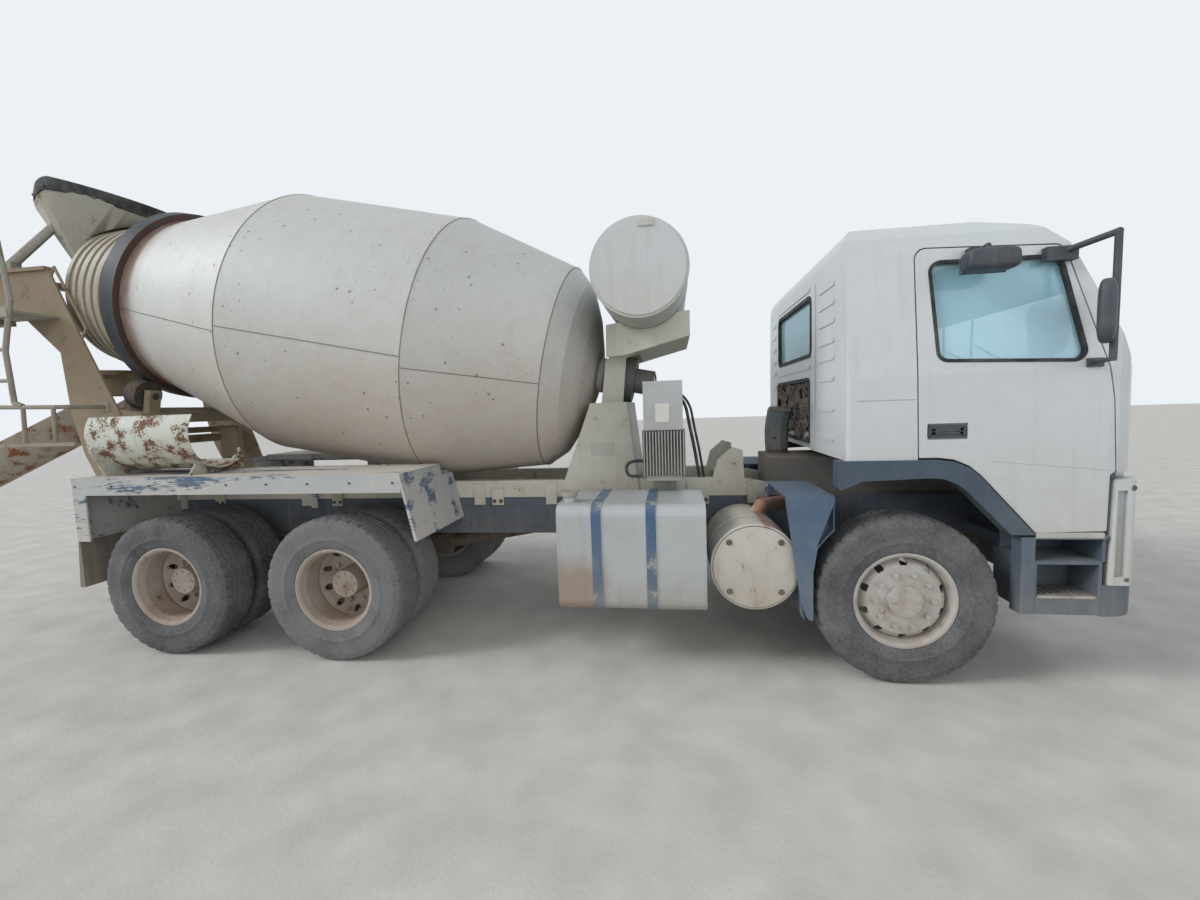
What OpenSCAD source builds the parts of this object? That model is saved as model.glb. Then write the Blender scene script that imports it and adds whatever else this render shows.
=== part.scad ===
// Three-axle concrete mixer truck, forward-control cab, front of the drum driven by a gearbox.
// Millimetres. X points forward, Y to the truck's left, Z up. Lengths along the truck are measured
// from the rearmost axle and moved by x_shift, so that the origin is under the middle of the box.

/* [Running gear] */
// Front axle to the first driven axle
wheelbase = 3810; // [3800:5:4000]
// Between the two driven axles
bogie_spread = 1370; // [1320:10:1400]
// Bumper face ahead of the front axle
front_overhang = 1285; // [1275:5:1300]
// Tyre diameter, worn
tyre_d = 1052; // [1030:2:1060]
// Tyre width
tyre_w = 300; // [280:2:304]
// Outer face of the tyres from the centre plane
tyre_face = 1240; // [1230:2:1250]
// Gap between twin tyres
twin_gap = 42; // [30:2:50]
// Bead seat diameter of the wheels
rim_d = 572; // [560:2:580]
// Kingpin from the centre plane
kingpin_y = 930; // [925:1:935]
// Kingpin radius
kingpin_r = 25; // [20:1:30]

/* [Frame] */
// Underside of the chassis rails
rail_z = 750; // [740:5:760]
// Depth of the chassis rails
rail_h = 300; // [290:5:305]
// Outer face of the rails from the centre plane
rail_y = 425; // [420:1:430]
// Rail flange width
rail_flange = 90; // [75:1:100]
// Rail web thickness
rail_t = 9; // [7:1:12]
// Rear end of the rails behind the last axle
rail_tail = 1250; // [1200:10:1300]
// Height of the mixer subframe
subframe_h = 137; // [120:1:140]
// Width of each subframe beam
subframe_w = 80; // [70:1:90]

/* [Drum] */
// Tilt of the drum axis
drum_tilt = 11.5; // [11:0.1:12]
// Apex of the dished head, ahead of the rear axle
drum_x = 3193; // [3180:1:3200]
// Height of that apex
drum_z = 2045; // [2040:1:2070]
// Radius at the head's edge
head_r = 852; // [840:1:856]
// Radius at the front of the belly
belly_front_r = 1117; // [1100:1:1120]
// Radius at the rear of the belly
belly_rear_r = 1135; // [1120:1:1138]
// Radius of the cone where the roller ring sits
cone_r = 778; // [770:1:785]
// Radius of the mouth
mouth_r = 603; // [595:1:610]
// Shell thickness
drum_t = 12; // [8:1:16]
// Roller ring radius
ring_r = 851; // [845:1:855]
// Roller ring width
ring_w = 110; // [100:1:120]
// Support roller radius
roller_r = 125; // [115:1:130]
// Angle of each support roller from straight down
roller_angle = 31; // [29:0.5:33]

/* [Cab] */
// Half width of the cab
cab_y = 1226; // [1215:1:1230]
// Wall and door thickness
cab_t = 60; // [50:1:65]
// Highest point of the roof
cab_top = 2809; // [2790:1:2830]
// Underside of the cab floor
cab_floor_z = 1393; // [1390:1:1400]
// Gap all round a door
door_gap = 8; // [7:0.5:9]
// Thickness of window glass
glass_t = 6; // [5:0.5:8]

/* [Body fittings] */
// Radius of the water tank
tank_r = 330; // [300:5:335]
// Length of the water tank
tank_l = 2000; // [1900:10:2050]
// Length of the fuel tank
fuel_l = 968; // [900:4:980]
// Height of the fuel tank
fuel_h = 705; // [650:5:710]
// Height of the deck over the rear wheels
deck_z = 1362; // [1350:1:1370]
// Outer edge of the deck from the centre plane
deck_y = 1250; // [1240:1:1255]
// Length of the main chute
chute_l = 1214; // [1150:2:1260]
// Radius of the chute trough
chute_r = 270; // [250:5:280]
// Slope of the chute as parked
chute_slope = 28; // [24:1:30]
// Swing of the chute to the right as parked
chute_swing = 20; // [10:1:24]

/* [Hidden] */

// Clearances: between faces of moving neighbours, of seated pieces, and of pins in bores
run_gap = 5;
seat_gap = 0.3;
pin_gap = 0.05;
round_fn = 48;

// Axle places along the truck, counted from the rearmost axle, and wheel heights
axle_z = tyre_d / 2;
mid_x = bogie_spread;
front_x = wheelbase + bogie_spread;
nose_x = front_x + front_overhang;
tyre_mid_y = tyre_face - tyre_w / 2;
twin_step = tyre_w + twin_gap;
rail_top = rail_z + rail_h;
subframe_top = rail_top + subframe_h;
subframe_y = rail_y - subframe_w;

// The chute turns about this upright line, and tilts about a pin just behind it, under the trough
swivel_x = -1640;
tilt_back = 150;
tilt_z = 1650;
chute_lift = 60;
tail_reach = chute_l * cos(chute_slope) + (chute_r + chute_lift) * sin(chute_slope) + tilt_back;
tail_x = swivel_x - tail_reach * cos(chute_swing) - chute_r * sin(chute_swing);
x_shift = -(nose_x + tail_x) / 2;

// Outlines: unit vectors, corner rounding, and a parallel inset of a closed counter-clockwise outline
function unit(v) = v / norm(v);
function corner(a, b, c, r) =
    r == 0 ? [b] :
    let (u = unit(a - b), v = unit(c - b), half = acos(u * v) / 2, d = r / tan(half),
         mid = b + unit(u + v) * r / sin(half), s = b + u * d - mid, e = b + v * d - mid,
         turn = 180 - 2 * half, n = max(2, ceil(turn / 18)))
    [for (k = [0:n]) mid + (s * sin((1 - k / n) * turn) + e * sin(k / n * turn)) / sin(turn)];
function rounded(p) =
    let (n = len(p), q = [for (c = p) [c[0], c[1]]])
    [for (i = [0:n - 1]) each corner(q[(i + n - 1) % n], q[i], q[(i + 1) % n], p[i][2])];
function inset(p, t) =
    let (n = len(p))
    [for (i = [0:n - 1])
        let (u = unit(p[i] - p[(i + n - 1) % n]), v = unit(p[(i + 1) % n] - p[i]),
             a = [-u[1], u[0]], b = [-v[1], v[0]])
        p[i] + (a + b) * t / (1 + a * b)];
function both_sides(half) = concat(half, [for (i = [len(half) - 1:-1:0]) [-half[i][0], half[i][1]]]);

module place() { translate([x_shift, 0, 0]) children(); }
module pair() {
    children();
    mirror([0, 1, 0]) children();
}
// An outline of [x, z] points, solid from y0 to y1
module side_plate(p, y0, y1) { translate([0, y1, 0]) rotate([90, 0, 0]) linear_extrude(y1 - y0) polygon(p); }
// An outline of [y, z] points, solid from x0 to x1
module cross_plate(p, x0, x1) { translate([x0, 0, 0]) rotate([90, 0, 90]) linear_extrude(x1 - x0) polygon(p); }
module box(x0, x1, y0, y1, z0, z1) { translate([x0, y0, z0]) cube([x1 - x0, y1 - y0, z1 - z0]); }
// A round bar lying across the truck
module cross_bar(x, z, r, y0, y1) { translate([x, y1, z]) rotate([90, 0, 0]) cylinder(r = r, h = y1 - y0, $fn = round_fn); }
// A round bar lying along the truck
module cross_bar_x(x0, x1, y, z, r) { translate([x0, y, z]) rotate([0, 90, 0]) cylinder(r = r, h = x1 - x0, $fn = round_fn); }
// A round bar from point a to point b
module bar(a, b, r) {
    d = b - a;
    translate(a) rotate([0, acos(d[2] / norm(d)), atan2(d[1], d[0])]) cylinder(r = r, h = norm(d), $fn = 24);
}
// A bent tube through the points of a list, with a ball at each bend
module tube(p, r) {
    for (i = [0:len(p) - 2]) bar(p[i], p[i + 1], r);
    for (i = [1:1:len(p) - 2]) translate(p[i]) sphere(r = r + 1, $fn = 24);
}
// Turns what follows so that its Z axis is the drum's axis, running up and back from the head's apex
module on_drum() { translate([drum_x, 0, drum_z]) rotate([0, drum_tilt - 90, 0]) children(); }

// Frame

rail_front = nose_x - 260;
// Cross members: place along the truck, and how far they stay inside the rail's depth below and above
cross_members = [[-1180, 60, 60], [-230, 60, 60], [650, 60, 60], [1750, 90, 60], [2600, 90, 60], [3800, 256, 9],
                 [rail_front - 90, 60, 60]];

module chassis_rails() {
    color("#3f4650") place() {
        pair() difference() {
            box(-rail_tail, rail_front, rail_y - rail_flange, rail_y, rail_z, rail_top);
            box(-rail_tail - 1, rail_front + 1, rail_y - rail_flange - 1, rail_y - rail_t,
                rail_z + rail_t, rail_top - rail_t);
        }
        for (c = cross_members) difference() {
            box(c[0], c[0] + 90, -rail_y + rail_t, rail_y - rail_t, rail_z + c[1], rail_top - c[2]);
            box(c[0] - 1, c[0] + 90 - rail_t, -rail_y, rail_y, rail_z + c[1] + rail_t, rail_top - c[2] - rail_t);
        }
        // Tail plate with the four coupling bolt holes
        difference() {
            box(-rail_tail - 14, -rail_tail, -rail_y, rail_y, rail_z, rail_top);
            for (y = [-80, 80], z = [-50, 50])
                translate([-rail_tail - 20, y, rail_z + rail_h / 2 + z]) rotate([0, 90, 0])
                    cylinder(r = 10.5, h = 30, $fn = round_fn);
        }
    }
}

subframe_nose = 4680;
module subframe() {
    beam = [[-rail_tail, rail_top], [subframe_nose, rail_top], [subframe_nose, rail_top + 60],
            [subframe_nose - 380, subframe_top], [-rail_tail, subframe_top]];
    color("#cfc8b4") place() {
        pair() side_plate(beam, subframe_y, rail_y);
        for (x = [-1150, -300, 600, 1500, 2400, 3450, subframe_nose - 530])
            box(x, x + 70, -subframe_y, subframe_y, rail_top + 20, subframe_top - 20);
        // Brackets bolted down the side of the rails
        for (x = [560, 2150, 2760, 3900, subframe_nose - 320])
            pair() box(x, x + 90, rail_y, rail_y + 14, rail_top - 60, subframe_top - 20);
        // Bearing bracket behind the cab
        pair() translate([subframe_nose - 580, 0, subframe_top])
            side_plate([[0, 0], [20, -30], [240, -30], [230, 213], [150, 238], [40, 143]], rail_y - 30, rail_y - 12);
    }
}

// Springs, axles and steering

spring_y = 400;
front_spring_z = axle_z + 78;
bogie_spring_z = axle_z + 210;
module leaf_pack(half, leaves, t, z) {
    for (i = [0:leaves - 1])
        box(-half + i * half / leaves * 0.7, half - i * half / leaves * 0.7, -40, 40, z - (i + 1) * t, z - i * t);
}
module leaf_springs() {
    color("#34363a") place() pair() {
        translate([front_x, spring_y, 0]) {
            leaf_pack(800, 3, 20, front_spring_z + 60);
            for (s = [-1, 1]) box(s * 790 - 45, s * 790 + 45, -38, 25, front_spring_z + 60, rail_z);
        }
        translate([bogie_spread / 2, spring_y + 60, 0]) {
            leaf_pack(bogie_spread / 2, 6, 20, bogie_spring_z);
            side_plate([[-110, bogie_spring_z], [110, bogie_spring_z], [150, rail_z + 120], [-150, rail_z + 120]],
                       -35, 20);
        }
    }
}

knuckle_eye_h = 110;
module front_axle() {
    color("#3c3e42") place() translate([front_x, 0, 0]) {
        difference() {
            union() {
                cross_plate(both_sides([[520, axle_z - 100], [kingpin_y - 120, axle_z - 40], [kingpin_y, axle_z - 40],
                    [kingpin_y, axle_z + 40], [kingpin_y - 130, axle_z + 40], [520, axle_z + 18]]), -42, 42);
                pair() translate([0, kingpin_y, axle_z - knuckle_eye_h / 2])
                    cylinder(r = 54, h = knuckle_eye_h, $fn = round_fn);
            }
            pair() translate([0, kingpin_y, axle_z - 100])
                cylinder(r = kingpin_r + pin_gap, h = 200, $fn = round_fn);
        }
        pair() box(-60, 60, spring_y - 45, spring_y + 45, axle_z + 18, front_spring_z);
    }
}

arm_back = 190;
arm_z = axle_z - 96;
stub_r = 40;
module knuckle() {
    translate([front_x, kingpin_y, 0]) {
        translate([0, 0, axle_z - 118]) cylinder(r = kingpin_r, h = 236, $fn = round_fn);
        for (s = [-1, 1]) translate([0, 0, axle_z + s * 91 - 29]) {
            cylinder(r = 44, h = 58, $fn = round_fn);
            box(-44, 44, 0, 72, 0, 58);
        }
        box(-70, 70, 60, 82, axle_z - 120, axle_z + 120);
        translate([0, 81, axle_z]) rotate([-90, 0, 0]) cylinder(r = stub_r, h = 130, $fn = round_fn);
        // Steering arm with the tie rod's pin
        box(-arm_back - 30, -30, -22, 22, arm_z - 24, arm_z - 4);
        translate([-arm_back, 0, arm_z - 24]) cylinder(r = 30, h = 20, $fn = round_fn);
        translate([-arm_back, 0, arm_z - 24]) cylinder(r = 12, h = 64, $fn = round_fn);
    }
}
module knuckle_left() { color("#3c3e42") place() knuckle(); }
module knuckle_right() { color("#3c3e42") place() mirror([0, 1, 0]) knuckle(); }

module tie_rod() {
    color("#3c3e42") place() difference() {
        union() {
            cross_bar(front_x - arm_back, arm_z + 18, 19, -kingpin_y + 20, kingpin_y - 20);
            pair() translate([front_x - arm_back, kingpin_y, arm_z]) cylinder(r = 28, h = 36, $fn = round_fn);
        }
        pair() translate([front_x - arm_back, kingpin_y, arm_z - 5])
            cylinder(r = 12 + pin_gap, h = 50, $fn = round_fn);
    }
}

// The driven axles: banjo housings and tubes, with the hub ends that the wheels turn on
drive_tube_r = 70;
hub_end_y = tyre_mid_y - 60;
pinion_x = 350;
pinion_up = 30;
output_x = 236;
module rear_axles() {
    color("#46423c") place() for (x = [0, mid_x]) translate([x, 0, axle_z]) {
        cross_bar(0, 0, drive_tube_r, -560, 560);
        cross_bar(0, 0, stub_r, -hub_end_y, hub_end_y);
        rotate([90, 0, 0]) cylinder(r = 215, h = 190, center = true, $fn = round_fn);
        translate([150, 0, pinion_up]) rotate([0, 90, 0]) cylinder(r = 105, h = pinion_x - 150, $fn = round_fn);
        translate([-output_x, 0, pinion_up]) rotate([0, 90, 0]) cylinder(r = 78, h = 100, $fn = round_fn);
        pair() box(-60, 60, spring_y + 22, spring_y + 98, 0, bogie_spring_z - axle_z - 20);
    }
}

// Engine and gearbox as closed blocks between the rails, and the shafts to the axles
radiator_y = rail_y - rail_flange - run_gap;
gearbox_x = 3960;
module engine() {
    foot_y = rail_y - rail_t - 4;
    color("#5a5d60") place() {
        box(4560, 5980, -320, 320, rail_z + 20, cab_floor_z - 70);
        side_plate([[gearbox_x, 820], [4560, 760], [4560, 1060], [gearbox_x, 1040]], -210, 210);
        // Feet that rest on the lower flanges of the rails
        for (x = [4700, 5700, 6010])
            box(x, x + 70, -foot_y, foot_y, rail_z + rail_t + seat_gap, rail_z + 30);
        box(6000, 6090, -radiator_y, radiator_y, rail_z + 20, cab_floor_z - 80);
        // Intake elbow behind the cab
        tube([[4700, 190, cab_floor_z - 71], [4690, 180, 1520], [4715, 140, 1700]], 92);
    }
}
// A shaft between two faces across the truck, with a flange at each end
module shaft(x0, z0, x1, z1, r) {
    flange = 24;
    a = [x0 - seat_gap - flange / 2, 0, z0];
    b = [x1 + seat_gap + flange / 2, 0, z1];
    bar(a, b, r);
    for (p = [a, b]) translate(p - [flange / 2, 0, 0]) rotate([0, 90, 0]) cylinder(r = r + 14, h = flange, $fn = round_fn);
}
module propshafts() {
    color("#3a3a3c") place() {
        shaft(gearbox_x, 940, mid_x + pinion_x, axle_z + pinion_up, 50);
        shaft(mid_x - output_x, axle_z + pinion_up, pinion_x, axle_z + pinion_up, 45);
    }
}

// Wheels: revolved about their axle, the outer side at positive y

rim_r = rim_d / 2;
flange_r = rim_r + 14;
rim_half = 114;
front_dish = 92;
disc_t = 14;
// Barrel of a rim as [radius, y] points
function rim_barrel() = [
    [flange_r, rim_half + 12], [flange_r, rim_half], [rim_r - 4, rim_half - 6], [rim_r - 16, 60],
    [rim_r - 16, -60], [rim_r - 4, 6 - rim_half], [flange_r, -rim_half], [flange_r, -rim_half - 12],
    [rim_r, -rim_half - 12], [rim_r - 14, -rim_half], [rim_r - 28, -62], [rim_r - 28, 62],
    [rim_r - 14, rim_half], [rim_r, rim_half + 12]];
// Disc between barrel and hub, dished by the given height
module rim_disc(dish) {
    s = dish > 0 ? 1 : -1;
    root = dish - s * 72;
    difference() {
        rotate_extrude($fn = 64) polygon([
            [stub_r + 30, dish], [206, dish], [226, dish - s * disc_t], [rim_r - 22, root], [rim_r - 18, root + s * 2],
            [rim_r - 18, root + s * 18], [234, dish - s * 2], [212, dish + s * disc_t], [stub_r + 30, dish + s * disc_t]]);
        for (a = [0:36:324]) rotate([0, 0, a + 18]) translate([231, 0, dish - s * 90])
            cylinder(r = 24, h = 200, center = true, $fn = 24);
    }
}
module rim(dish) {
    rotate_extrude($fn = 64) polygon(rim_barrel());
    rim_disc(dish);
}
module tyre() {
    h = tyre_w / 2;
    r = tyre_d / 2;
    rotate_extrude($fn = 64) polygon([
        [rim_r - 4 + 0.2, 6 - rim_half], [flange_r + 0.2, -rim_half], [flange_r + 4, -rim_half - 14], [rim_r + 60, -h + 4],
        [rim_r + 130, -h], [r - 50, -h + 6], [r - 12, -h + 20], [r, -h + 42],
        [r, h - 42], [r - 12, h - 20], [r - 50, h - 6], [rim_r + 130, h], [rim_r + 60, h - 4],
        [flange_r + 4, rim_half + 14], [flange_r + 0.2, rim_half], [rim_r - 4 + 0.2, rim_half - 6],
        [rim_r + 12, rim_half - 30], [rim_r + 90, h - 24], [r - 50, h - 34], [r - 26, h - 60],
        [r - 26, -h + 60], [r - 50, -h + 34], [rim_r + 90, -h + 24], [rim_r + 12, 30 - rim_half]]);
}
// Puts a wheel's own z axis along y on the left side, or mirrored on the right
module on_axle(x, y, left) {
    place() mirror([0, left ? 0 : 1, 0]) translate([x, y, axle_z]) rotate([-90, 0, 0]) children();
}
// Hub from y0 to y1 with its brake drum from d0 to d1, both bored for the stub of the axle
module hub(r0, r1, y0, y1, drum_r, d0, d1) {
    difference() {
        union() {
            translate([0, 0, y0]) cylinder(r1 = r0, r2 = r1, h = y1 - y0, $fn = round_fn);
            difference() {
                translate([0, 0, d0]) cylinder(r = drum_r, h = d1 - d0, $fn = round_fn);
                translate([0, 0, d0 - 1]) cylinder(r = drum_r - 15, h = d1 - d0 - 11, $fn = round_fn);
            }
        }
        translate([0, 0, y0 - 1]) cylinder(r = stub_r + pin_gap, h = y1 - y0 - 18, $fn = round_fn);
    }
}
module front_rim(left) {
    color("#a29c92") on_axle(front_x, tyre_mid_y, left) {
        rim(front_dish);
        hub(110, 96, -60, front_dish + 44, 200, -75, 75);
    }
}
module twin_rims(x, left) {
    color("#8c8378") on_axle(x, tyre_mid_y, left) {
        for (i = [0, 1]) translate([0, 0, -i * twin_step]) rotate([i * 180, 0, 0]) rim(disc_t - twin_step / 2);
        hub(118, 100, -twin_step / 2 - 60, -10, 205, -twin_step - 70, 140 - twin_step);
    }
}
module twin_tyres(x, left) {
    color("#2c2c2e") on_axle(x, tyre_mid_y, left) for (i = [0, 1]) translate([0, 0, -i * twin_step]) tyre();
}
module tyre_front_left() { color("#2c2c2e") on_axle(front_x, tyre_mid_y, true) tyre(); }
module tyre_front_right() { color("#2c2c2e") on_axle(front_x, tyre_mid_y, false) tyre(); }
module rim_front_left() { front_rim(true); }
module rim_front_right() { front_rim(false); }
module tyres_middle_left() { twin_tyres(mid_x, true); }
module tyres_middle_right() { twin_tyres(mid_x, false); }
module tyres_rear_left() { twin_tyres(0, true); }
module tyres_rear_right() { twin_tyres(0, false); }
module rims_middle_left() { twin_rims(mid_x, true); }
module rims_middle_right() { twin_rims(mid_x, false); }
module rims_rear_left() { twin_rims(0, true); }
module rims_rear_right() { twin_rims(0, false); }

// Tanks and boxes beside the frame

fuel_x = 3027;
fuel_z = 430;
fuel_in = 560;
module fuel_tank() {
    shell = rounded([[-tyre_face, fuel_z, 70], [-fuel_in, fuel_z, 70], [-fuel_in, fuel_z + fuel_h, 70],
                     [-tyre_face, fuel_z + fuel_h, 70]]);
    color("#a3a5a3") place() {
        cross_plate(shell, fuel_x, fuel_x + fuel_l);
        for (x = [fuel_x + 265, fuel_x + 620]) {
            difference() {
                cross_plate(inset(shell, -5), x - 33, x + 33);
                cross_plate(inset(shell, 2), x - 34, x + 34);
            }
            box(x - 30, x + 30, -fuel_in - 2, -rail_y, 800, 860);
            box(x - 30, x + 30, -rail_y - 12, -rail_y, rail_z, 1000);
        }
        translate([fuel_x + 70, -tyre_face + 140, fuel_z + fuel_h - 5]) cylinder(r = 42, h = 45, $fn = round_fn);
    }
}

silencer_x = 4299;
silencer_z = 723;
module silencer() {
    color("#b0a694") place() {
        cross_bar(silencer_x, silencer_z, 275, -1188, -510);
        cross_bar(silencer_x, silencer_z, 262, -1200, -1187);
        box(silencer_x - 50, silencer_x + 50, -520, -rail_y, silencer_z + 150, silencer_z + 230);
        tube([[silencer_x + 60, -700, silencer_z + 200], [silencer_x + 120, -700, silencer_z + 300],
              [silencer_x + 330, -540, silencer_z + 300]], 50);
    }
}

module battery_box() {
    color("#4a5058") place() {
        difference() {
            box(3050, 3850, 560, 1200, 500, 960);
            for (x = [3080, 3460]) box(x, x + 360, 1188, 1201, 540, 920);
        }
        for (x = [3150, 3700]) box(x, x + 70, rail_y, 561, 780, 850);
        // Air reservoirs
        for (z = [620, 860]) {
            translate([4020, 760, z]) rotate([0, 90, 0]) cylinder(r = 105, h = 420, $fn = round_fn);
            box(4200, 4250, rail_y, 680, z - 20, z + 20);
        }
        box(4200, 4250, rail_y, rail_y + 12, 590, 1000);
    }
}

// Bumper, steps and wing panels at the front

corner_y = 1085;
lamp_deep = 60;
// Headlamp recess: y and z limits
lamp = [720, 1030, 700, 900];
module lamps() {
    color("#e8e8ea") place() pair() {
        box(nose_x - lamp_deep + seat_gap, nose_x - 22, lamp[0] + seat_gap, lamp[1] - seat_gap, lamp[2] + seat_gap,
            lamp[3] - seat_gap);
        box(-rail_tail - 50, -rail_tail - 14 - seat_gap, 240, 400, rail_z + 20, rail_z + 110);
    }
}
module bumper() {
    plan = rounded([[front_x + 1041, -deck_y + 14, 0], [nose_x, -deck_y + 14, 200], [nose_x, deck_y - 14, 200],
                    [front_x + 1041, deck_y - 14, 0]]);
    color("#56606c") place() {
        translate([0, 0, 465]) linear_extrude(185) polygon(plan);
        difference() {
            box(front_x + 1190, nose_x - 12, -corner_y + 8, corner_y - 8, 650, 1105);
            pair() box(nose_x - lamp_deep, nose_x, lamp[0], lamp[1], lamp[2], lamp[3]);
            box(nose_x - 50, nose_x, -560, 560, 720, 1060);
        }
        pair() box(rail_front, front_x + 1191, rail_y - rail_flange, rail_y, 790, 1000);
        pair() {
            difference() {
                box(front_x + 673, front_x + 1042, 880, deck_y - 16, 471, 790);
                box(front_x + 705, front_x + 1025, 1000, deck_y, 570, 770);
            }
            box(front_x + 617, front_x + 690, 1145, deck_y - 12, 471, 930);
            box(front_x + 688, front_x + 1063, 900, deck_y - 14, 918, 944);
            box(front_x + 688, front_x + 1063, 900, 915, 785, 919);
            box(front_x + 1045, front_x + 1063, 900, deck_y - 25, 785, 919);
            box(front_x + 700, front_x + 800, rail_y, 900, 800, 860);
        }
    }
}

module corner_panels() {
    plan = rounded([[front_x + 1074, corner_y, 0], [nose_x - 30, corner_y, 0], [nose_x - 30, corner_y + 60, 40],
                    [front_x + 1190, deck_y - 14, 40], [front_x + 1074, deck_y - 14, 20]]);
    color("#dfe3e6") place() pair() difference() {
        translate([0, 0, 650]) linear_extrude(613) polygon(plan);
        translate([0, 0, 700]) linear_extrude(500)
            polygon([[front_x + 1105, deck_y - 34], [front_x + 1155, deck_y - 34], [front_x + 1150, deck_y], [front_x + 1100, deck_y]]);
        // Rear edge that leans away from the door
        side_plate([[front_x + 1060, 640], [front_x + 1073, 640], [front_x + 1093, 1270], [front_x + 1060, 1270]],
                   corner_y - 1, deck_y);
    }
}

mudguard_in = 560;
module front_mudguards() {
    edge = front_x - 540;
    skin = rounded([[front_x - 705, 1179, 20], [front_x - 614, 526, 0], [front_x - 482 - 90, 399, 30], [edge, 399, 0],
                    [edge, 700, 0], [edge + 32, 900, 0], [front_x - 411, 1158, 0], [front_x - 430, 1179, 0]]);
    // The wall keeps clear of the tyre as it steers
    sweep = norm([tyre_d / 2 - 12, tyre_face - 20 - kingpin_y]) + 2 * run_gap;
    low = asin((399 - axle_z) / sweep);
    high = acos(411 / sweep);
    function arc(r) = [for (k = [0:12]) let (a = 180 - low - k / 12 * (high - low))
        [front_x + r * cos(a), axle_z + r * sin(a)]];
    wall = concat(arc(sweep), [[front_x - 411, 1170], [front_x - 419, 1170]],
                  [for (i = [12:-1:0]) arc(sweep + 8)[i]]);
    color("#5d6d80") place() pair() {
        side_plate(skin, deck_y - 34, deck_y - 12);
        side_plate([for (i = [len(wall) - 1:-1:0]) wall[i]], mudguard_in, deck_y - 33);
        box(front_x - 698, front_x - 411, mudguard_in, deck_y - 33, 1169, 1179);
        box(front_x - 690, front_x - 650, mudguard_in, mudguard_in + 12, 1080, 1170);
        box(front_x - 690, front_x - 650, rail_y, mudguard_in + 2, 1080, 1120);
    }
}

// Deck over the rear wheels, with the plates before and behind them

deck_rear = -690;
deck_front = 1955;
deck_in = 640;
module rear_fenders() {
    color("#c9cac6") place() pair() {
        box(deck_rear, deck_front, deck_in, deck_y, deck_z - 12, deck_z);
        box(deck_rear, deck_front, deck_y - 12, deck_y, deck_z - 130, deck_z - 11);
        box(deck_rear, deck_front, deck_in, deck_in + 12, deck_z - 60, deck_z - 11);
        // Sloping apron ahead of the wheels, cut back beside the drum
        difference() {
            side_plate([[deck_front - 6, deck_z], [deck_front - 20, deck_z], [deck_front + 78, 895],
                        [deck_front + 100, 895]], rail_y + 20, deck_y);
            box(deck_front - 30, deck_front + 110, rail_y, deck_in, deck_z - 90, deck_z + 1);
        }
        box(deck_rear, deck_rear + 110, deck_y - 12, deck_y, 880, deck_z - 129);
        box(deck_rear, deck_rear + 12, rail_y + 20, deck_y - 11, 880, deck_z - 11);
        for (x = [deck_rear + 40, bogie_spread / 2 - 30, deck_front - 90])
            box(x, x + 60, rail_y, deck_y - 30, deck_z - 130, deck_z - 72);
        for (x = [deck_rear + 40, bogie_spread / 2 - 30, deck_front - 90])
            box(x, x + 60, rail_y, rail_y + 20, rail_top - 80, deck_z - 72);
        box(deck_rear + 40, deck_front - 30, 800, 860, deck_z - 73, deck_z - 11);
    }
}
module mudflaps() {
    face = deck_rear - seat_gap;
    color("#26272a") place() pair()
        side_plate([[face - 12, 940], [face, 940], [face, 520], [face - 46, 520]], 580, deck_y - 14);
}

// Front drum support with its drive, and the water tank across the top of it

pedestal_foot = [2874, 3527];
pedestal_head = [3148, 3444];
pedestal_head_z = 1786;
tank_x = 3598;
tank_z = 2681;
saddle_y = 500;
module front_pedestal() {
    side = [[pedestal_foot[0], rail_top + 10], [pedestal_foot[1], rail_top + 10],
            [pedestal_head[1], pedestal_head_z], [pedestal_head[0], pedestal_head_z]];
    color("#d6cfba") place() {
        pair() side_plate(side, rail_y, rail_y + 14);
        // Foot, head and sloping end plates
        box(pedestal_foot[0] + 60, pedestal_foot[1] - 10, -rail_y, rail_y, subframe_top, subframe_top + 12);
        box(pedestal_head[0], pedestal_head[1], -rail_y - 14, rail_y + 14, pedestal_head_z - 1, pedestal_head_z + 14);
        side_plate([[pedestal_foot[1] - 28, subframe_top + 11], [pedestal_foot[1] - 14, subframe_top + 11],
                    [pedestal_head[1], pedestal_head_z], [pedestal_head[1] - 14, pedestal_head_z]], -rail_y, rail_y);
        side_plate([[pedestal_foot[0] + 60, subframe_top + 11], [pedestal_foot[0] + 76, subframe_top + 11],
                    [pedestal_head[0] + 16, pedestal_head_z], [pedestal_head[0], pedestal_head_z]], -rail_y, rail_y);
        // Necks up to the tank saddle
        difference() {
            union() {
                pair() side_plate([[3229, pedestal_head_z + 13], [3405, pedestal_head_z + 13], [3439, 2155],
                                   [3940, 2286], [3942, 2472], [3307, 2395], [3299, 2155], [3273, 2150]], 300, 320);
                pair() side_plate([[3299, 2151], [3447, 2160], [3942, 2286], [3942, 2472], [3307, 2395]],
                                  saddle_y - 16, saddle_y);
                side_plate([[3540, 2181], [3942, 2286], [3942, 2310], [3540, 2205]], -saddle_y + 15, saddle_y - 15);
            }
            cross_bar(tank_x, tank_z, tank_r + seat_gap, -saddle_y - 1, saddle_y + 1);
        }
    }
}

gear_l = 400;
module drum_drive() {
    color("#8d8a82") place() intersection() {
        on_drum() translate([0, 0, -30 - seat_gap]) rotate([180, 0, 0]) {
            cylinder(r = 150, h = 40, $fn = round_fn);
            translate([0, 0, 39]) cylinder(r = 235, h = 120, $fn = round_fn);
            translate([0, 0, 158]) cylinder(r = 190, h = 110, $fn = round_fn);
            translate([0, 0, 267]) cylinder(r = 105, h = gear_l - 240, $fn = round_fn);
        }
        box(2900, 4200, -300 + seat_gap, 300 - seat_gap, pedestal_head_z + 14, 2500);
    }
}

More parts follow.
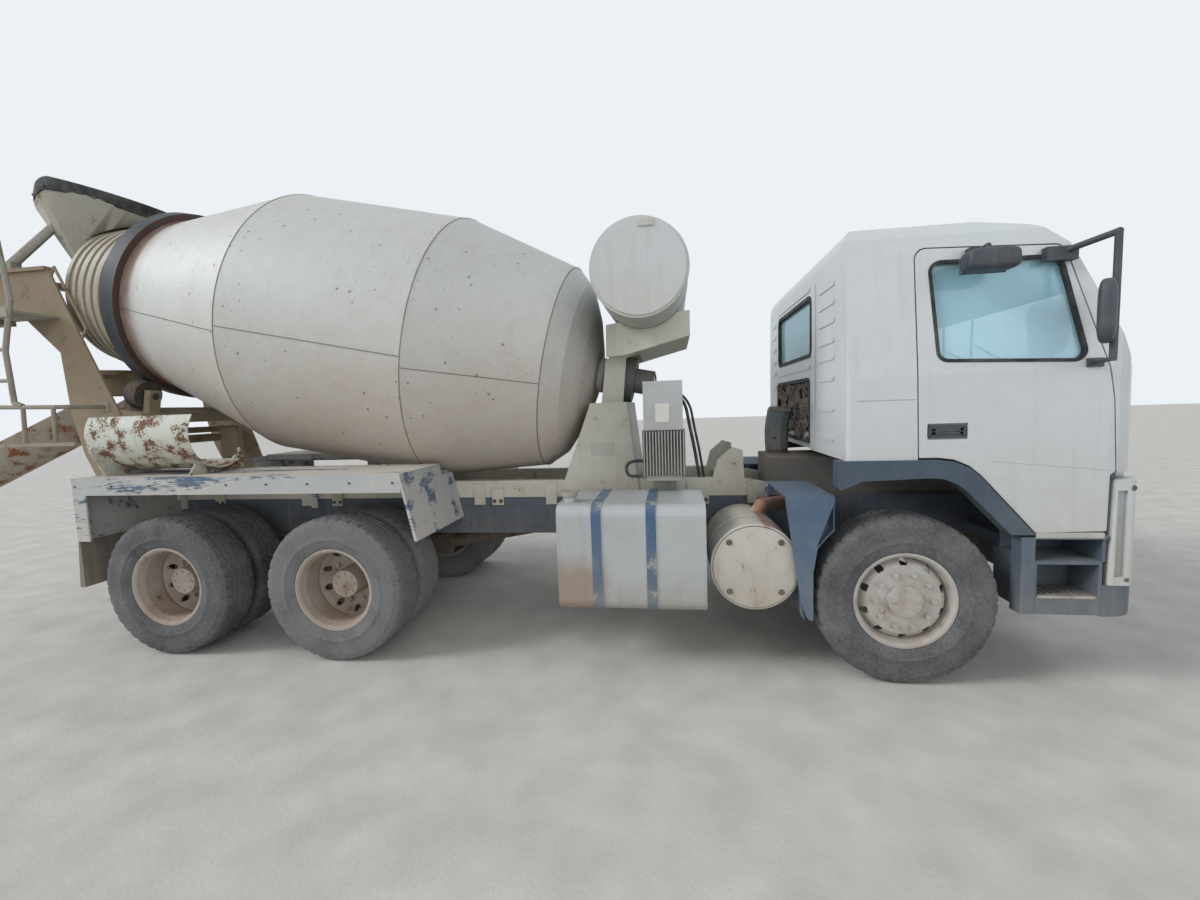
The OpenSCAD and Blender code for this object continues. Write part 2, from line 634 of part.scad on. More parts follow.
module water_tank() {
    color("#dcdad2") place() {
        cross_bar(tank_x, tank_z, tank_r, -tank_l / 2, tank_l / 2);
        pair() cross_bar(tank_x, tank_z, tank_r - 18, tank_l / 2 - 1, tank_l / 2 + 12);
        translate([tank_x, 300, tank_z + tank_r - 8]) cylinder(r = 90, h = 40, $fn = round_fn);
    }
}

cooler_y = 700;
module oil_cooler() {
    color("#9ba0a2") place() {
        box(3590, 3872, -cooler_y - 65, -cooler_y + 65, 1590, 1940);
        box(3576, 3886, -cooler_y - 50, -cooler_y + 50, 1252, 1591);
        for (i = [0:13]) box(3584 + i * 22, 3592 + i * 22, -cooler_y - 62, -cooler_y - 49, 1262, 1580);
        box(3600, 3860, -cooler_y - 40, -rail_y, subframe_top + 30, 1253);
        box(3640, 3820, -rail_y - 12, -rail_y, subframe_top - 90, 1240);
    }
}

// Drum: a steel shell turned about its own axis, open at the mouth

ring_s = 3905;
mouth_s = 4662;
rib_h = 12;
rib_w = 26;
drum_path = [[0, 0], [250, 24], [498, 92], [729, 192], [head_r, 322], [belly_front_r, 1260], [belly_rear_r, 2708],
             [cone_r, 3916], [mouth_r, mouth_s]];
function collar_r(s) = cone_r + (mouth_r - cone_r) * (s - 3916) / (mouth_s - 3916);
module drum() {
    color("#d8d2c2") place() on_drum() {
        rotate_extrude($fn = 96) polygon(concat([for (p = drum_path) p],
            [for (i = [len(drum_path) - 1:-1:0]) [max(0, drum_path[i][0] - drum_t), min(drum_path[i][1] + drum_t, mouth_s)]]));
        translate([0, 0, -30]) cylinder(r = 150, h = 60, $fn = round_fn);
        difference() {
            translate([0, 0, ring_s]) cylinder(r = ring_r, h = ring_w, $fn = 96);
            translate([0, 0, ring_s - 1]) cylinder(r1 = cone_r, r2 = cone_r - 32, h = ring_w + 2, $fn = 96);
        }
        // Hoops round the collar behind the ring
        for (s = [4095 : 110 : mouth_s - 100]) difference() {
            translate([0, 0, s]) cylinder(r = collar_r(s) + rib_h, h = rib_w, $fn = 96);
            translate([0, 0, s - 1]) cylinder(r = collar_r(s + rib_w) - 4, h = rib_w + 2, $fn = 96);
        }
        difference() {
            translate([0, 0, mouth_s - 30]) cylinder(r = mouth_r + 22, h = 30, $fn = 96);
            translate([0, 0, mouth_s - 31]) cylinder(r = mouth_r - 4, h = 32, $fn = 96);
        }
    }
}

// Support rollers, on shafts along the drum's axis
roller_mid = ring_s + ring_w / 2;
roller_d = ring_r + roller_r + seat_gap;
shaft_r = 30;
module on_roller(side) {
    on_drum() translate([-roller_d * cos(roller_angle), side * roller_d * sin(roller_angle), roller_mid]) children();
}
module roller(side) {
    color("#2f3033") place() on_roller(side) {
        translate([0, 0, -ring_w / 2]) cylinder(r = roller_r, h = ring_w, $fn = 64);
        translate([0, 0, -130]) cylinder(r = shaft_r, h = 260, $fn = round_fn);
    }
}
module roller_left() { roller(1); }
module roller_right() { roller(-1); }

// Rear drum support: roller beam, legs, and the two tall arms that hold the hopper

arm_y = 640;
arm_t = 18;
arm_top = 3100;
arm = [[-1180, subframe_top], [-700, subframe_top], [-820, 1550], [-931, 1848], [-1243, 2531], [-1490, arm_top],
       [-2115, arm_top], [-2209, 2771], [-1758, 2679], [-1459, 2394], [-1420, 1854], [-1330, 1500]];
bracket_top = 1640;
funnel_r = 200;
funnel_z = 2040;
module rear_pedestal() {
    beam_drop = roller_r + 20;
    color("#c9b99a") place() {
        pair() side_plate(arm, arm_y, arm_y + arm_t);
        // Feet that spread the arms onto the subframe
        pair() box(-1170, -760, subframe_y, arm_y + arm_t, subframe_top, subframe_top + 14);
        // Rails along the top of the arms, and bars across between them
        pair() box(-2115, -1500, arm_y - 30, arm_y + arm_t + 20, arm_top - 1, arm_top + 30);
        for (c = [[-1060, 1700], [-1900, arm_top]])
            box(c[0] - 50, c[0] + 10, -arm_y - 1, arm_y + 1, c[1] - 60, c[1]);
        // Bent handle along the front edge of the right arm
        tube([[-1475, -arm_y - arm_t / 2, 3050], [-1433, -arm_y - arm_t / 2, 3120], [-1178, -arm_y - arm_t / 2, 2586],
              [-1240, -arm_y - arm_t / 2, 2500]], 11);
        // Roller beam with a bearing block at each end of each shaft
        on_drum() difference() {
            union() {
                x0 = -roller_d * cos(roller_angle) - beam_drop;
                translate([x0 - 90, -arm_y - 1, roller_mid - 150]) cube([90, 2 * arm_y + 2, 300]);
                for (side = [-1, 1], end = [-1, 1])
                    translate([x0 - 1, side * roller_d * sin(roller_angle) - 50, roller_mid + end * 97 - 30])
                        cube([beam_drop + 51, 100, 60]);
            }
            for (side = [-1, 1])
                translate([-roller_d * cos(roller_angle), side * roller_d * sin(roller_angle), roller_mid - 200])
                    cylinder(r = shaft_r + pin_gap, h = 400, $fn = round_fn);
        }
        pair() box(-960, -760, subframe_y, rail_y, subframe_top, 1690);
        // Funnel between the mouth and the chute, on a bracket from each arm
        difference() {
            union() {
                translate([swivel_x, 0, funnel_z]) cylinder(r1 = funnel_r, r2 = funnel_r + 120, h = 230, $fn = round_fn);
                pair() box(-1440, -1400, 190, arm_y + 1, funnel_z + 140, funnel_z + 180);
            }
            translate([swivel_x, 0, funnel_z - 1])
                cylinder(r1 = funnel_r - 9, r2 = funnel_r + 112, h = 232, $fn = round_fn);
        }
        // Chute post bracket
        difference() {
            union() {
                box(-1700, -1110, -70, 70, bracket_top - 100, bracket_top - 20);
                translate([swivel_x, 0, bracket_top - 120]) cylinder(r = 95, h = 120, $fn = round_fn);
                box(-1190, -1110, -arm_y - 1, arm_y + 1, bracket_top - 100, bracket_top - 20);
            }
            translate([swivel_x, 0, bracket_top - 140]) cylinder(r = 50 + pin_gap, h = 300, $fn = round_fn);
        }
    }
}

// Charging hopper: a scoop that narrows from its tilted rim into the upper part of the mouth
hopper_x = -1620;
hopper_z = 3810;
hopper_tilt = 15;
hopper_r = 560;
throat_s = 4560;
// A plate across the drum's axis, from so far above the axis to so far, with round corners
module across(s, h, up0, up1, half) {
    on_drum() translate([0, 0, s]) linear_extrude(h)
        polygon(rounded([[up0, -half, 140], [up1, -half, 140], [up1, half, 140], [up0, half, 140]]));
}
module hopper_rim(grow, h) {
    translate([hopper_x, 0, hopper_z]) rotate([0, hopper_tilt, 0])
        cylinder(r = hopper_r + grow, h = h, $fn = 32);
}
// The end of the drum with room round it
module mouth_room(gap) {
    s = ring_s + ring_w;
    on_drum() translate([0, 0, s]) cylinder(r1 = cone_r + gap, r2 = mouth_r + 22 + gap, h = mouth_s + gap - s, $fn = 96);
}
module hopper() {
    foot_z = arm_top + 30 + seat_gap;
    color("#c2ad8a") place() difference() {
        union() {
            difference() {
                hull() {
                    across(mouth_s + 40, 4, 60, 520, 490);
                    hopper_rim(0, 120);
                }
                mouth_room(rib_h + run_gap + 3);
            }
            across(throat_s, mouth_s + 30 - throat_s, 120, 460, 430);
            pair() {
                bar([-1900, arm_y - 10, foot_z + 45], [-1600, 480, 3560], 38);
                box(-1960, -1840, arm_y - 45, arm_y + 35, foot_z, foot_z + 60);
            }
        }
        difference() {
            hull() {
                across(mouth_s + 38, 4, 70, 510, 480);
                hopper_rim(-10, 122);
            }
            mouth_room(rib_h + run_gap + 13);
        }
        across(throat_s - 1, 200, 130, 450, 420);
    }
}

// Chute: a carrier turning on an upright post, and the trough tilting behind it

tilt_pin_r = 20;
fork_y = 45;
chute_head = 230;
module on_swivel() { translate([swivel_x, 0, 0]) rotate([0, 0, chute_swing]) children(); }
module chute_carrier() {
    color("#b9a27c") place() on_swivel() {
        translate([0, 0, 1420]) cylinder(r = 50, h = bracket_top - 1400, $fn = round_fn);
        translate([0, 0, bracket_top + seat_gap]) cylinder(r = 90, h = 25, $fn = round_fn);
        // Fork with the tilt pin
        pair() {
            box(-tilt_back, -40, fork_y, fork_y + 16, bracket_top + seat_gap, bracket_top + 25);
            cross_bar(-tilt_back, tilt_z, 32, fork_y, fork_y + 16);
        }
        box(-100, -40, -fork_y - 1, fork_y + 1, bracket_top + seat_gap, bracket_top + 25);
        cross_bar(-tilt_back, tilt_z, tilt_pin_r, -fork_y - 26, fork_y + 26);
    }
}
module main_chute() {
    color("#b39b74") place() on_swivel() translate([-tilt_back, 0, tilt_z]) rotate([0, -chute_slope, 0]) {
        difference() {
            union() {
                translate([chute_head, 0, chute_r + chute_lift]) rotate([0, -90, 0])
                    cylinder(r = chute_r, h = chute_l + chute_head, $fn = 64);
                // Lug on the tilt pin
                box(-26, 26, -fork_y + 1, fork_y - 1, 0, chute_lift + 10);
                cross_bar(0, 0, 30, -fork_y + 1, fork_y - 1);
            }
            translate([chute_head + 1, 0, chute_r + chute_lift]) rotate([0, -90, 0])
                cylinder(r = chute_r - 6, h = chute_l + chute_head + 2, $fn = 64);
            box(-chute_l - 1, chute_head + 1, -chute_r - 1, chute_r + 1, chute_r + chute_lift, 2 * chute_r + 100);
            cross_bar(0, 0, tilt_pin_r + pin_gap, -fork_y, fork_y);
        }
    }
}

spare_x0 = -600;
spare_x1 = 290;
spare_y = 925;
spare_z = 1665;
spare_r = 270;
module spare_chute() {
    color("#d9d7d0") place() {
        translate([spare_x0, -spare_y, spare_z]) rotate([0, 90, 0]) difference() {
            cylinder(r = spare_r, h = spare_x1 - spare_x0, $fn = 64);
            translate([0, 0, -1]) cylinder(r = spare_r - 7, h = spare_x1 - spare_x0 + 2, $fn = 64);
            rotate([0, 0, 46]) translate([-400, -47, -1]) cube([800, 400, spare_x1 - spare_x0 + 2]);
        }
        // Cradles whose ends curl up to hooks
        difference() {
            union() {
                cross_plate([[-1160, deck_z], [-655, deck_z], [-662, 1480], [-690, 1535], [-735, 1548], [-776, 1530],
                             [-786, 1400], [-1100, 1440]], spare_x1 - 70, spare_x1 - 56);
                cross_plate([[-1130, deck_z], [-700, deck_z], [-800, 1440], [-1110, 1500], [-1140, 1585], [-1170, 1605],
                             [-1210, 1590], [-1222, 1555], [-1196, 1500]], spare_x0 + 60, spare_x0 + 74);
            }
            translate([spare_x0, -spare_y, spare_z]) rotate([0, 90, 0])
                cylinder(r = spare_r - 3, h = spare_x1 - spare_x0, $fn = 64);
            cross_bar_x(spare_x1 - 80, spare_x1 - 40, -722, 1495, 22);
            cross_bar_x(spare_x0 + 50, spare_x0 + 90, -1177, 1560, 18);
        }
    }
}

ladder_y = 1000;
module ladder() {
    y = -ladder_y;
    arm_face = -arm_y - arm_t - seat_gap;
    color("#b9b2a4") place() {
        // Front stile that goes on as the platform's handrail, and the rear stile that ends in a low hoop
        tube([[-1412, y, 1930], [-1488, y, 1960], [-1512, y, 2374], [-1405, y, 2775], [-1464, y, 3283], [-1500, y, 3500],
              [-1600, y, 3575], [-2180, y, 3575], [-2270, y, 3480], [-2300, y, 2700]], 19);
        tube([[-1795, y, 2690], [-1790, y, 2010], [-1740, y, 1930], [-1100, y, 1912], [-1060, y + 60, 1912],
              [-1060, arm_face - 8, 1912]], 17);
        box(-1100, -1020, arm_face - 10, arm_face, 1870, 1954);
        bar([-1440, y, 3080], [-2285, y, 3080], 13);
        for (z = [2140, 2390]) bar([-1790, y, z], [-1500, y, z], 15);
        // Platform with its edge, carried by the arm
        box(-2340, -1420, y - 20, arm_face, 2680, 2700);
        box(-2340, -1420, y - 24, y - 12, 2640, 2720);
        box(-2330, -1880, y - 14, arm_face, 2640, 2681);
        // Lower step: a bar on two hangers
        for (x = [-1412, -1120]) bar([x, y, 1925], [x, y - 10, 1620], 15);
        box(-1440, -740, y - 160, y - 130, 1605, 1632);
        for (x = [-1427, -1135]) box(x, x + 30, y - 140, y + 12, 1605, 1632);
    }
}

// Cab: a hollow shell cut into its real panels. Outlines are in the truck's side, cross and plan views

cab_back_x = front_x - 348;
belt_z = 1890;
screen_x = front_x + 1205;
roof_seam_z = 2640;
cab_nose_x = nose_x - 23;
face_slope = 0.065;
function face_x(z) = screen_x + (belt_z - z) * face_slope;
function cab_side(low) = rounded([
    [cab_back_x, low, 0], [face_x(low), low, 0], [screen_x, belt_z, 60],
    [front_x + 842, 2600, 80], [front_x + 700, 2730, 150], [front_x + 300, cab_top, 300], [cab_back_x, cab_top, 140]]);
cab_cross = both_sides([[cab_y, 700], [cab_y, belt_z], [cab_y - 40, 2600], [cab_y - 76, 2700],
                        [cab_y - 170, cab_top - 22], [cab_y - 330, cab_top + 10]]);
cab_plan = rounded([
    [cab_back_x - 3, -cab_y - 3, 34], [cab_nose_x + 3, -cab_y - 3, 233],
    [cab_nose_x + 3, cab_y + 3, 233], [cab_back_x - 3, cab_y + 3, 34]]);
module cab_solid(t, low) {
    intersection() {
        side_plate(inset(cab_side(low), t), -cab_y - 10, cab_y + 10);
        cross_plate(inset(cab_cross, t), cab_back_x - 10, nose_x + 10);
        translate([0, 0, low - 10]) linear_extrude(cab_top - low + 30) polygon(inset(cab_plan, t));
    }
}
module cab_wall() {
    difference() {
        cab_solid(0, cab_floor_z);
        cab_solid(cab_t, cab_floor_z);
    }
}
door_x0 = front_x + 32;
door_outline = rounded([
    [front_x + 70, 940, 0], [front_x + 1061, 966, 10], [front_x + 1065, 1290, 10], [front_x + 1094, 1310, 0],
    [front_x + 1068, 1717, 60], [front_x + 1036, 1900, 100], [front_x + 830, 2520, 60], [front_x + 790, 2590, 50],
    [door_x0, 2622, 60]]);
flare_outline = rounded([
    [front_x - 399, 1207, 20], [front_x - 260, 1270, 0], [front_x + 240, 1290, 260], [front_x + 560, 945, 0],
    [front_x + 688, 945, 0], [front_x + 300, cab_floor_z, 300], [front_x - 399, cab_floor_z, 0]]);
window_outline = rounded([
    [front_x + 155, 1967, 60], [front_x + 939, 1937, 60], [front_x + 796, 2534, 90], [front_x + 103, 2542, 60]]);
// Everything ahead of the door's front edge
front_zone = [
    [front_x + 1000, 1000], [nose_x + 50, 1000], [nose_x + 50, roof_seam_z], [front_x + 820, roof_seam_z],
    [front_x + 838 + door_gap, 2530], [front_x + 1040 + door_gap, 1905], [front_x + 1072 + door_gap, 1717],
    [front_x + 1094 + door_gap, 1310], [front_x + 1094 + door_gap, 1200]];
// The wheel arch under the flare's upper edge
arch_outline = rounded([
    [front_x - 399, 900, 0], [front_x + 688, 900, 0], [front_x + 688, 945, 0], [front_x + 300, cab_floor_z, 300],
    [front_x - 399, cab_floor_z, 0]]);
module door_cut(gap, arch_gap) {
    difference() {
        side_plate(inset(door_outline, -gap), -cab_y - 20, cab_y + 20);
        side_plate(inset(arch_outline, -arch_gap), -cab_y - 20, cab_y + 20);
    }
}

module cab_floor() {
    color("#6a6c6e") place() {
        box(cab_back_x + cab_t, front_x + 1030, -cab_y + cab_t, cab_y - cab_t, cab_floor_z, cab_floor_z + cab_t);
        box(front_x + 1029, front_x + 1095, 90 - cab_y, cab_y - 90, cab_floor_z, cab_floor_z + cab_t);
        // Engine cover between the seats
        box(cab_back_x + cab_t + 60, front_x + 640, -360, 360, cab_floor_z + cab_t - 1, 1700);
    }
}
rear_window = rounded([[-420, 2100, 60], [740, 2100, 60], [740, 2530, 60], [-420, 2530, 60]]);
press_h = 6;
// A pressed rib across the back wall
module back_rib(y0, y1, z, h) {
    cross_plate(rounded([[y0, z - h / 2, h / 2.2], [y1, z - h / 2, h / 2.2], [y1, z + h / 2, h / 2.2], [y0, z + h / 2, h / 2.2]]),
                cab_back_x - press_h, cab_back_x + 1);
}
module cab_back() {
    color("#e4e6e6") place() {
        difference() {
            intersection() {
                cab_wall();
                box(cab_back_x - 1, cab_back_x + cab_t, -cab_y - 1, cab_y + 1, cab_floor_z - 1, roof_seam_z);
            }
            cross_plate(rear_window, cab_back_x - 2, cab_back_x + cab_t + 2);
            // Recess behind the air intake
            cross_plate(rounded([[-390, cab_floor_z - 2, 0], [832, cab_floor_z - 2, 0], [832, 1940, 60], [-390, 1940, 60]]),
                        cab_back_x - 2, cab_back_x + cab_t / 2);
        }
        for (z = [1508, 1705, 1905, 2040, 2150, 2275, 2393, 2507]) {
            back_rib(-980, -620, z, 34);
            back_rib(890, 1090, z, 34);
        }
        for (z = [2015, 2590]) back_rib(-390, 735, z, 30);
        box(cab_back_x - press_h, cab_back_x + 1, -540, -470, 1410, 2600);
    }
}
module cab_sides() {
    color("#e4e6e6") place() difference() {
        intersection() {
            cab_wall();
            box(cab_back_x + cab_t, nose_x, -cab_y - 1, cab_y + 1, cab_floor_z - 1, roof_seam_z);
        }
        box(cab_back_x, nose_x, -cab_y + cab_t, cab_y - cab_t, cab_floor_z - 2, cab_floor_z + cab_t);
        side_plate(front_zone, -cab_y - 10, cab_y + 10);
        door_cut(door_gap, 0);
        box(front_x + 70, nose_x, -cab_y - 2, cab_y + 2, cab_floor_z - 2, cab_floor_z + cab_t);
        // Seam across the rear side panel
        pair() box(cab_back_x, door_x0, cab_y - 5, cab_y + 1, 1746, 1753);
    }
}
module cab_roof() {
    color("#e4e6e6") place() intersection() {
        cab_wall();
        box(cab_back_x - 1, nose_x, -cab_y - 1, cab_y + 1, roof_seam_z, cab_top + 30);
    }
}
corner_low = 1300;
slot_step = 78;
slot_depth = 24;
screen_tilt = atan((front_x + 842 - screen_x) / (2600 - belt_z));
module on_screen() { translate([screen_x, 0, belt_z]) rotate([0, screen_tilt, 0]) children(); }
screen_cut = rounded([[60, -1120, 80], [700, -1060, 90], [700, 1060, 90], [60, 1120, 80]]);
module cab_front() {
    color("#e4e6e6") place() {
        difference() {
            intersection() {
                difference() {
                    cab_solid(0, corner_low);
                    cab_solid(cab_t, cab_floor_z - 200);
                }
                side_plate(front_zone, -cab_y - 10, cab_y + 10);
            }
            on_screen() rotate([0, -90, 0]) translate([0, 0, -300]) linear_extrude(600) polygon(screen_cut);
            // Air slots pressed into the face
            difference() {
                for (z = [1420 : slot_step : 1720], y = [-830, 15])
                    box(front_x + 1100, nose_x, y, y + 815, z, z + slot_step - 26);
                cab_solid(slot_depth, corner_low);
            }
        }
        // Grille panel below, and the corners beside it
        side_plate([[front_x + 1196, 1133], [cab_nose_x, 1133], [front_x + 1242, cab_floor_z], [front_x + 1180, cab_floor_z]],
                   -corner_y + 13, corner_y - 13);
    }
}
module arch_flares() {
    color("#5d6d80") place() pair() side_plate(flare_outline, cab_y - 86, deck_y - 8);
}
module cab_glass() {
    color("#9fb2ba", 0.4) place() {
        on_screen() rotate([0, -90, 0]) translate([0, 0, 12]) linear_extrude(glass_t) polygon(inset(screen_cut, seat_gap));
        cross_plate(inset(rear_window, seat_gap),
                    cab_back_x + 20, cab_back_x + 20 + glass_t);
    }
}
module dashboard() {
    color("#3b3c3f") place() {
        side_plate([[front_x + 800, 1640], [front_x + 860, 1500], [front_x + 1040, 1500], [front_x + 1060, 1800],
                    [front_x + 840, 1850]], -cab_y + cab_t + 60, cab_y - cab_t - 60);
        translate([front_x + 700, 620, 1800]) rotate([0, 30 - 90, 0]) {
            rotate_extrude($fn = 48) translate([215, 0]) circle(r = 15, $fn = 16);
            for (a = [0, 120, 240]) rotate([0, 0, a]) translate([0, -15, -8]) cube([215, 30, 16]);
        }
        bar([front_x + 700, 620, 1800], [front_x + 860, 620, 1700], 30);
    }
}
module seats() {
    color("#4a4a4c") place() pair() translate([front_x, 690, 0]) {
        box(-60, 160, -150, 150, cab_floor_z + cab_t, 1640);
        box(-160, 330, -250, 250, 1640, 1760);
        side_plate([[-160, 1759], [-40, 1759], [-130, 2420], [-250, 2420]], -230, 230);
    }
}

module door(side) {
    color("#e4e6e6") place() mirror([0, side > 0 ? 0 : 1, 0]) difference() {
        intersection() {
            difference() {
                cab_solid(0, 900);
                cab_solid(cab_t, 800);
            }
            door_cut(0, door_gap + 4);
            box(door_x0 - 50, nose_x, cab_y - 115, cab_y + 5, 900, roof_seam_z);
        }
        side_plate(window_outline, 900, cab_y + 20);
        box(front_x + 101, front_x + 321, cab_y - 25, cab_y + 5, 1512, 1606);
    }
}
module door_left() { door(1); }
module door_right() { door(-1); }
module door_glass(side) {
    color("#9fb2ba", 0.4) place() mirror([0, side > 0 ? 0 : 1, 0]) intersection() {
        side_plate(inset(window_outline, seat_gap), 900, cab_y + 20);
        difference() {
            cross_plate(inset(cab_cross, 24), front_x, front_x + 1100);
            cross_plate(inset(cab_cross, 24 + glass_t), front_x - 1, front_x + 1101);
        }
        box(front_x, front_x + 1100, 900, cab_y, 1900, roof_seam_z);
    }
}
module door_glass_left() { door_glass(1); }
module door_glass_right() { door_glass(-1); }
mirror_y = 1440;
// A foot that lies on the door's slanting skin
module mirror_foot(x0, x1, z0, z1) {
    difference() {
        box(x0, x1, cab_y - 90, cab_y + 12, z0, z1);
        cross_plate(inset(cab_cross, -seat_gap), x0 - 1, x1 + 1);
    }
}
module door_mirror(side) {
    color("#4c5258") place() mirror([0, side > 0 ? 0 : 1, 0]) {
        mirror_foot(front_x + 694, front_x + 850, 2495, 2570);
        mirror_foot(front_x + 920, front_x + 1000, 1900, 1950);
        box(front_x + 856, front_x + 945, mirror_y - 100, mirror_y + 100, 1972, 2363);
        tube([[front_x + 790, cab_y - 20, 2545], [front_x + 905, mirror_y - 20, 2580], [front_x + 905, mirror_y - 20, 2350]], 17);
        translate([front_x + 905, mirror_y - 20, 1920]) cylinder(r = 15, h = 60, $fn = 24);
        bar([front_x + 905, mirror_y - 20, 1932], [front_x + 960, cab_y + 7, 1925], 12);
    }
}
module mirror_left() { door_mirror(1); }
module mirror_right() {
    door_mirror(-1);
    // Kerb mirror above the right window
    color("#4c5258") place() mirror([0, 1, 0]) {
        mirror_foot(front_x + 300, front_x + 400, 2552, 2596);
        tube([[front_x + 350, cab_y - 32, 2574], [front_x + 350, cab_y + 90, 2580], [front_x + 350, cab_y + 115, 2530]], 14);
        hull() for (x = [245, 455], y = [70, 150]) translate([front_x + x, cab_y + y, 2440]) {
            cylinder(r = 32, h = 80, $fn = 24);
            translate([0, 0, 80]) sphere(r = 32, $fn = 24);
        }
    }
}

chassis_rails();
subframe();
leaf_springs();
front_axle();
rear_axles();
engine();
propshafts();
fuel_tank();
silencer();
battery_box();
bumper();
corner_panels();
front_mudguards();
rear_fenders();
mudflaps();
front_pedestal();
drum_drive();
water_tank();
oil_cooler();
rear_pedestal();
hopper();
spare_chute();
ladder();
lamps();
knuckle_left();
knuckle_right();
tie_rod();
tyre_front_left();
rim_front_left();
tyre_front_right();
rim_front_right();
tyres_middle_left();
rims_middle_left();
tyres_middle_right();
rims_middle_right();
tyres_rear_left();
rims_rear_left();
tyres_rear_right();
rims_rear_right();
drum();
roller_left();
roller_right();
chute_carrier();
main_chute();
cab_floor();
cab_back();
cab_sides();
cab_roof();
cab_front();
arch_flares();
cab_glass();
dashboard();
seats();
door_left();
door_right();
door_glass_left();
door_glass_right();
mirror_left();
mirror_right();
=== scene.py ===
# The concrete mixer truck as it is put together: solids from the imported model, in metres, each
# riding on the body that carries it, dressed with tyres, bolts, seals, paint and dust.
import math
import bmesh
import bpy
from mathutils import Matrix, Vector, noise


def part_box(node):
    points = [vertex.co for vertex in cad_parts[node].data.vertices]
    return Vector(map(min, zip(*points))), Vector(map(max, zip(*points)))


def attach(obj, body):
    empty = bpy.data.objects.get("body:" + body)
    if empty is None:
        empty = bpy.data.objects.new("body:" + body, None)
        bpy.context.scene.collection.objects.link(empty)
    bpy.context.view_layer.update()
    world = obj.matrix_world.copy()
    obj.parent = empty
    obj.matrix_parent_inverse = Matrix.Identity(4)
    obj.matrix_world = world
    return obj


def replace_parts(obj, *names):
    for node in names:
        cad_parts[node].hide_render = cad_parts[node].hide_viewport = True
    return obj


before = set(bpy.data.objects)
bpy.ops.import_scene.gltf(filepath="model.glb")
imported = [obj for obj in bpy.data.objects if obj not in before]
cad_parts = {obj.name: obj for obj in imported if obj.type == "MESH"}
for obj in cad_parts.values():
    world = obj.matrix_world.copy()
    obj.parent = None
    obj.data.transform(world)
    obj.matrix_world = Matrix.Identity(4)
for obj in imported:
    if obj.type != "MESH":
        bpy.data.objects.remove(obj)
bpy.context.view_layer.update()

scene = bpy.context.scene
scene.view_settings.view_transform = "Standard"

# Camera: a wide lens at chest height on the truck's right, turned a little to the rear
# and tipped down, as the photograph was taken.
low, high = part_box("tyres_rear_left")
rear_axle = (low.x + high.x) / 2
eye = Vector((rear_axle + 3.8027, -4.4873, 1.7693))
yaw, pitch, roll = (math.radians(a) for a in (-8.194, -4.795, -1.908))
ahead = Vector((math.sin(yaw) * math.cos(pitch), math.cos(yaw) * math.cos(pitch), math.sin(pitch)))
level = Vector((math.cos(yaw), -math.sin(yaw), 0))
upward = level.cross(ahead)
right = level * math.cos(roll) + upward * math.sin(roll)
up = upward * math.cos(roll) - level * math.sin(roll)
focal_pixels, frame_pixels, sensor = 514.1, 1200, 36
lens = bpy.data.cameras.new("camera")
lens.lens = focal_pixels / frame_pixels * sensor
lens.sensor_width = sensor
lens.clip_end = 200
camera = bpy.data.objects.new("camera", lens)
camera.matrix_world = Matrix.Translation(eye) @ Matrix((right, up, -ahead)).transposed().to_4x4()
scene.collection.objects.link(camera)
scene.camera = camera


# Floor and light: a pale yard and a soft white sky, with one broad lamp high behind the truck and
# two wide low ones from the camera's side and from the rear. The yard's finish is the first that
# Finish builds, with Python's operators turned into Math nodes.
class Maths:
    def __init__(self, finish, socket):
        self.finish, self.socket = finish, socket

    def calc(self, operation, a, b):
        return self.finish.node("ShaderNodeMath", {"operation": operation}, {0: a, 1: b})

    def __add__(self, other):
        return self.calc("ADD", self, other)

    def __sub__(self, other):
        return self.calc("SUBTRACT", self, other)

    def __rsub__(self, other):
        return self.calc("SUBTRACT", other, self)

    def __mul__(self, other):
        return self.calc("MULTIPLY", self, other)

    __radd__, __rmul__ = __add__, __mul__

    def span(self, start, end):
        """0 at start, 1 at end, and held there outside."""
        return self.finish.node("ShaderNodeMapRange", {}, {0: self, 1: start, 2: end, 3: 0.0, 4: 1.0})


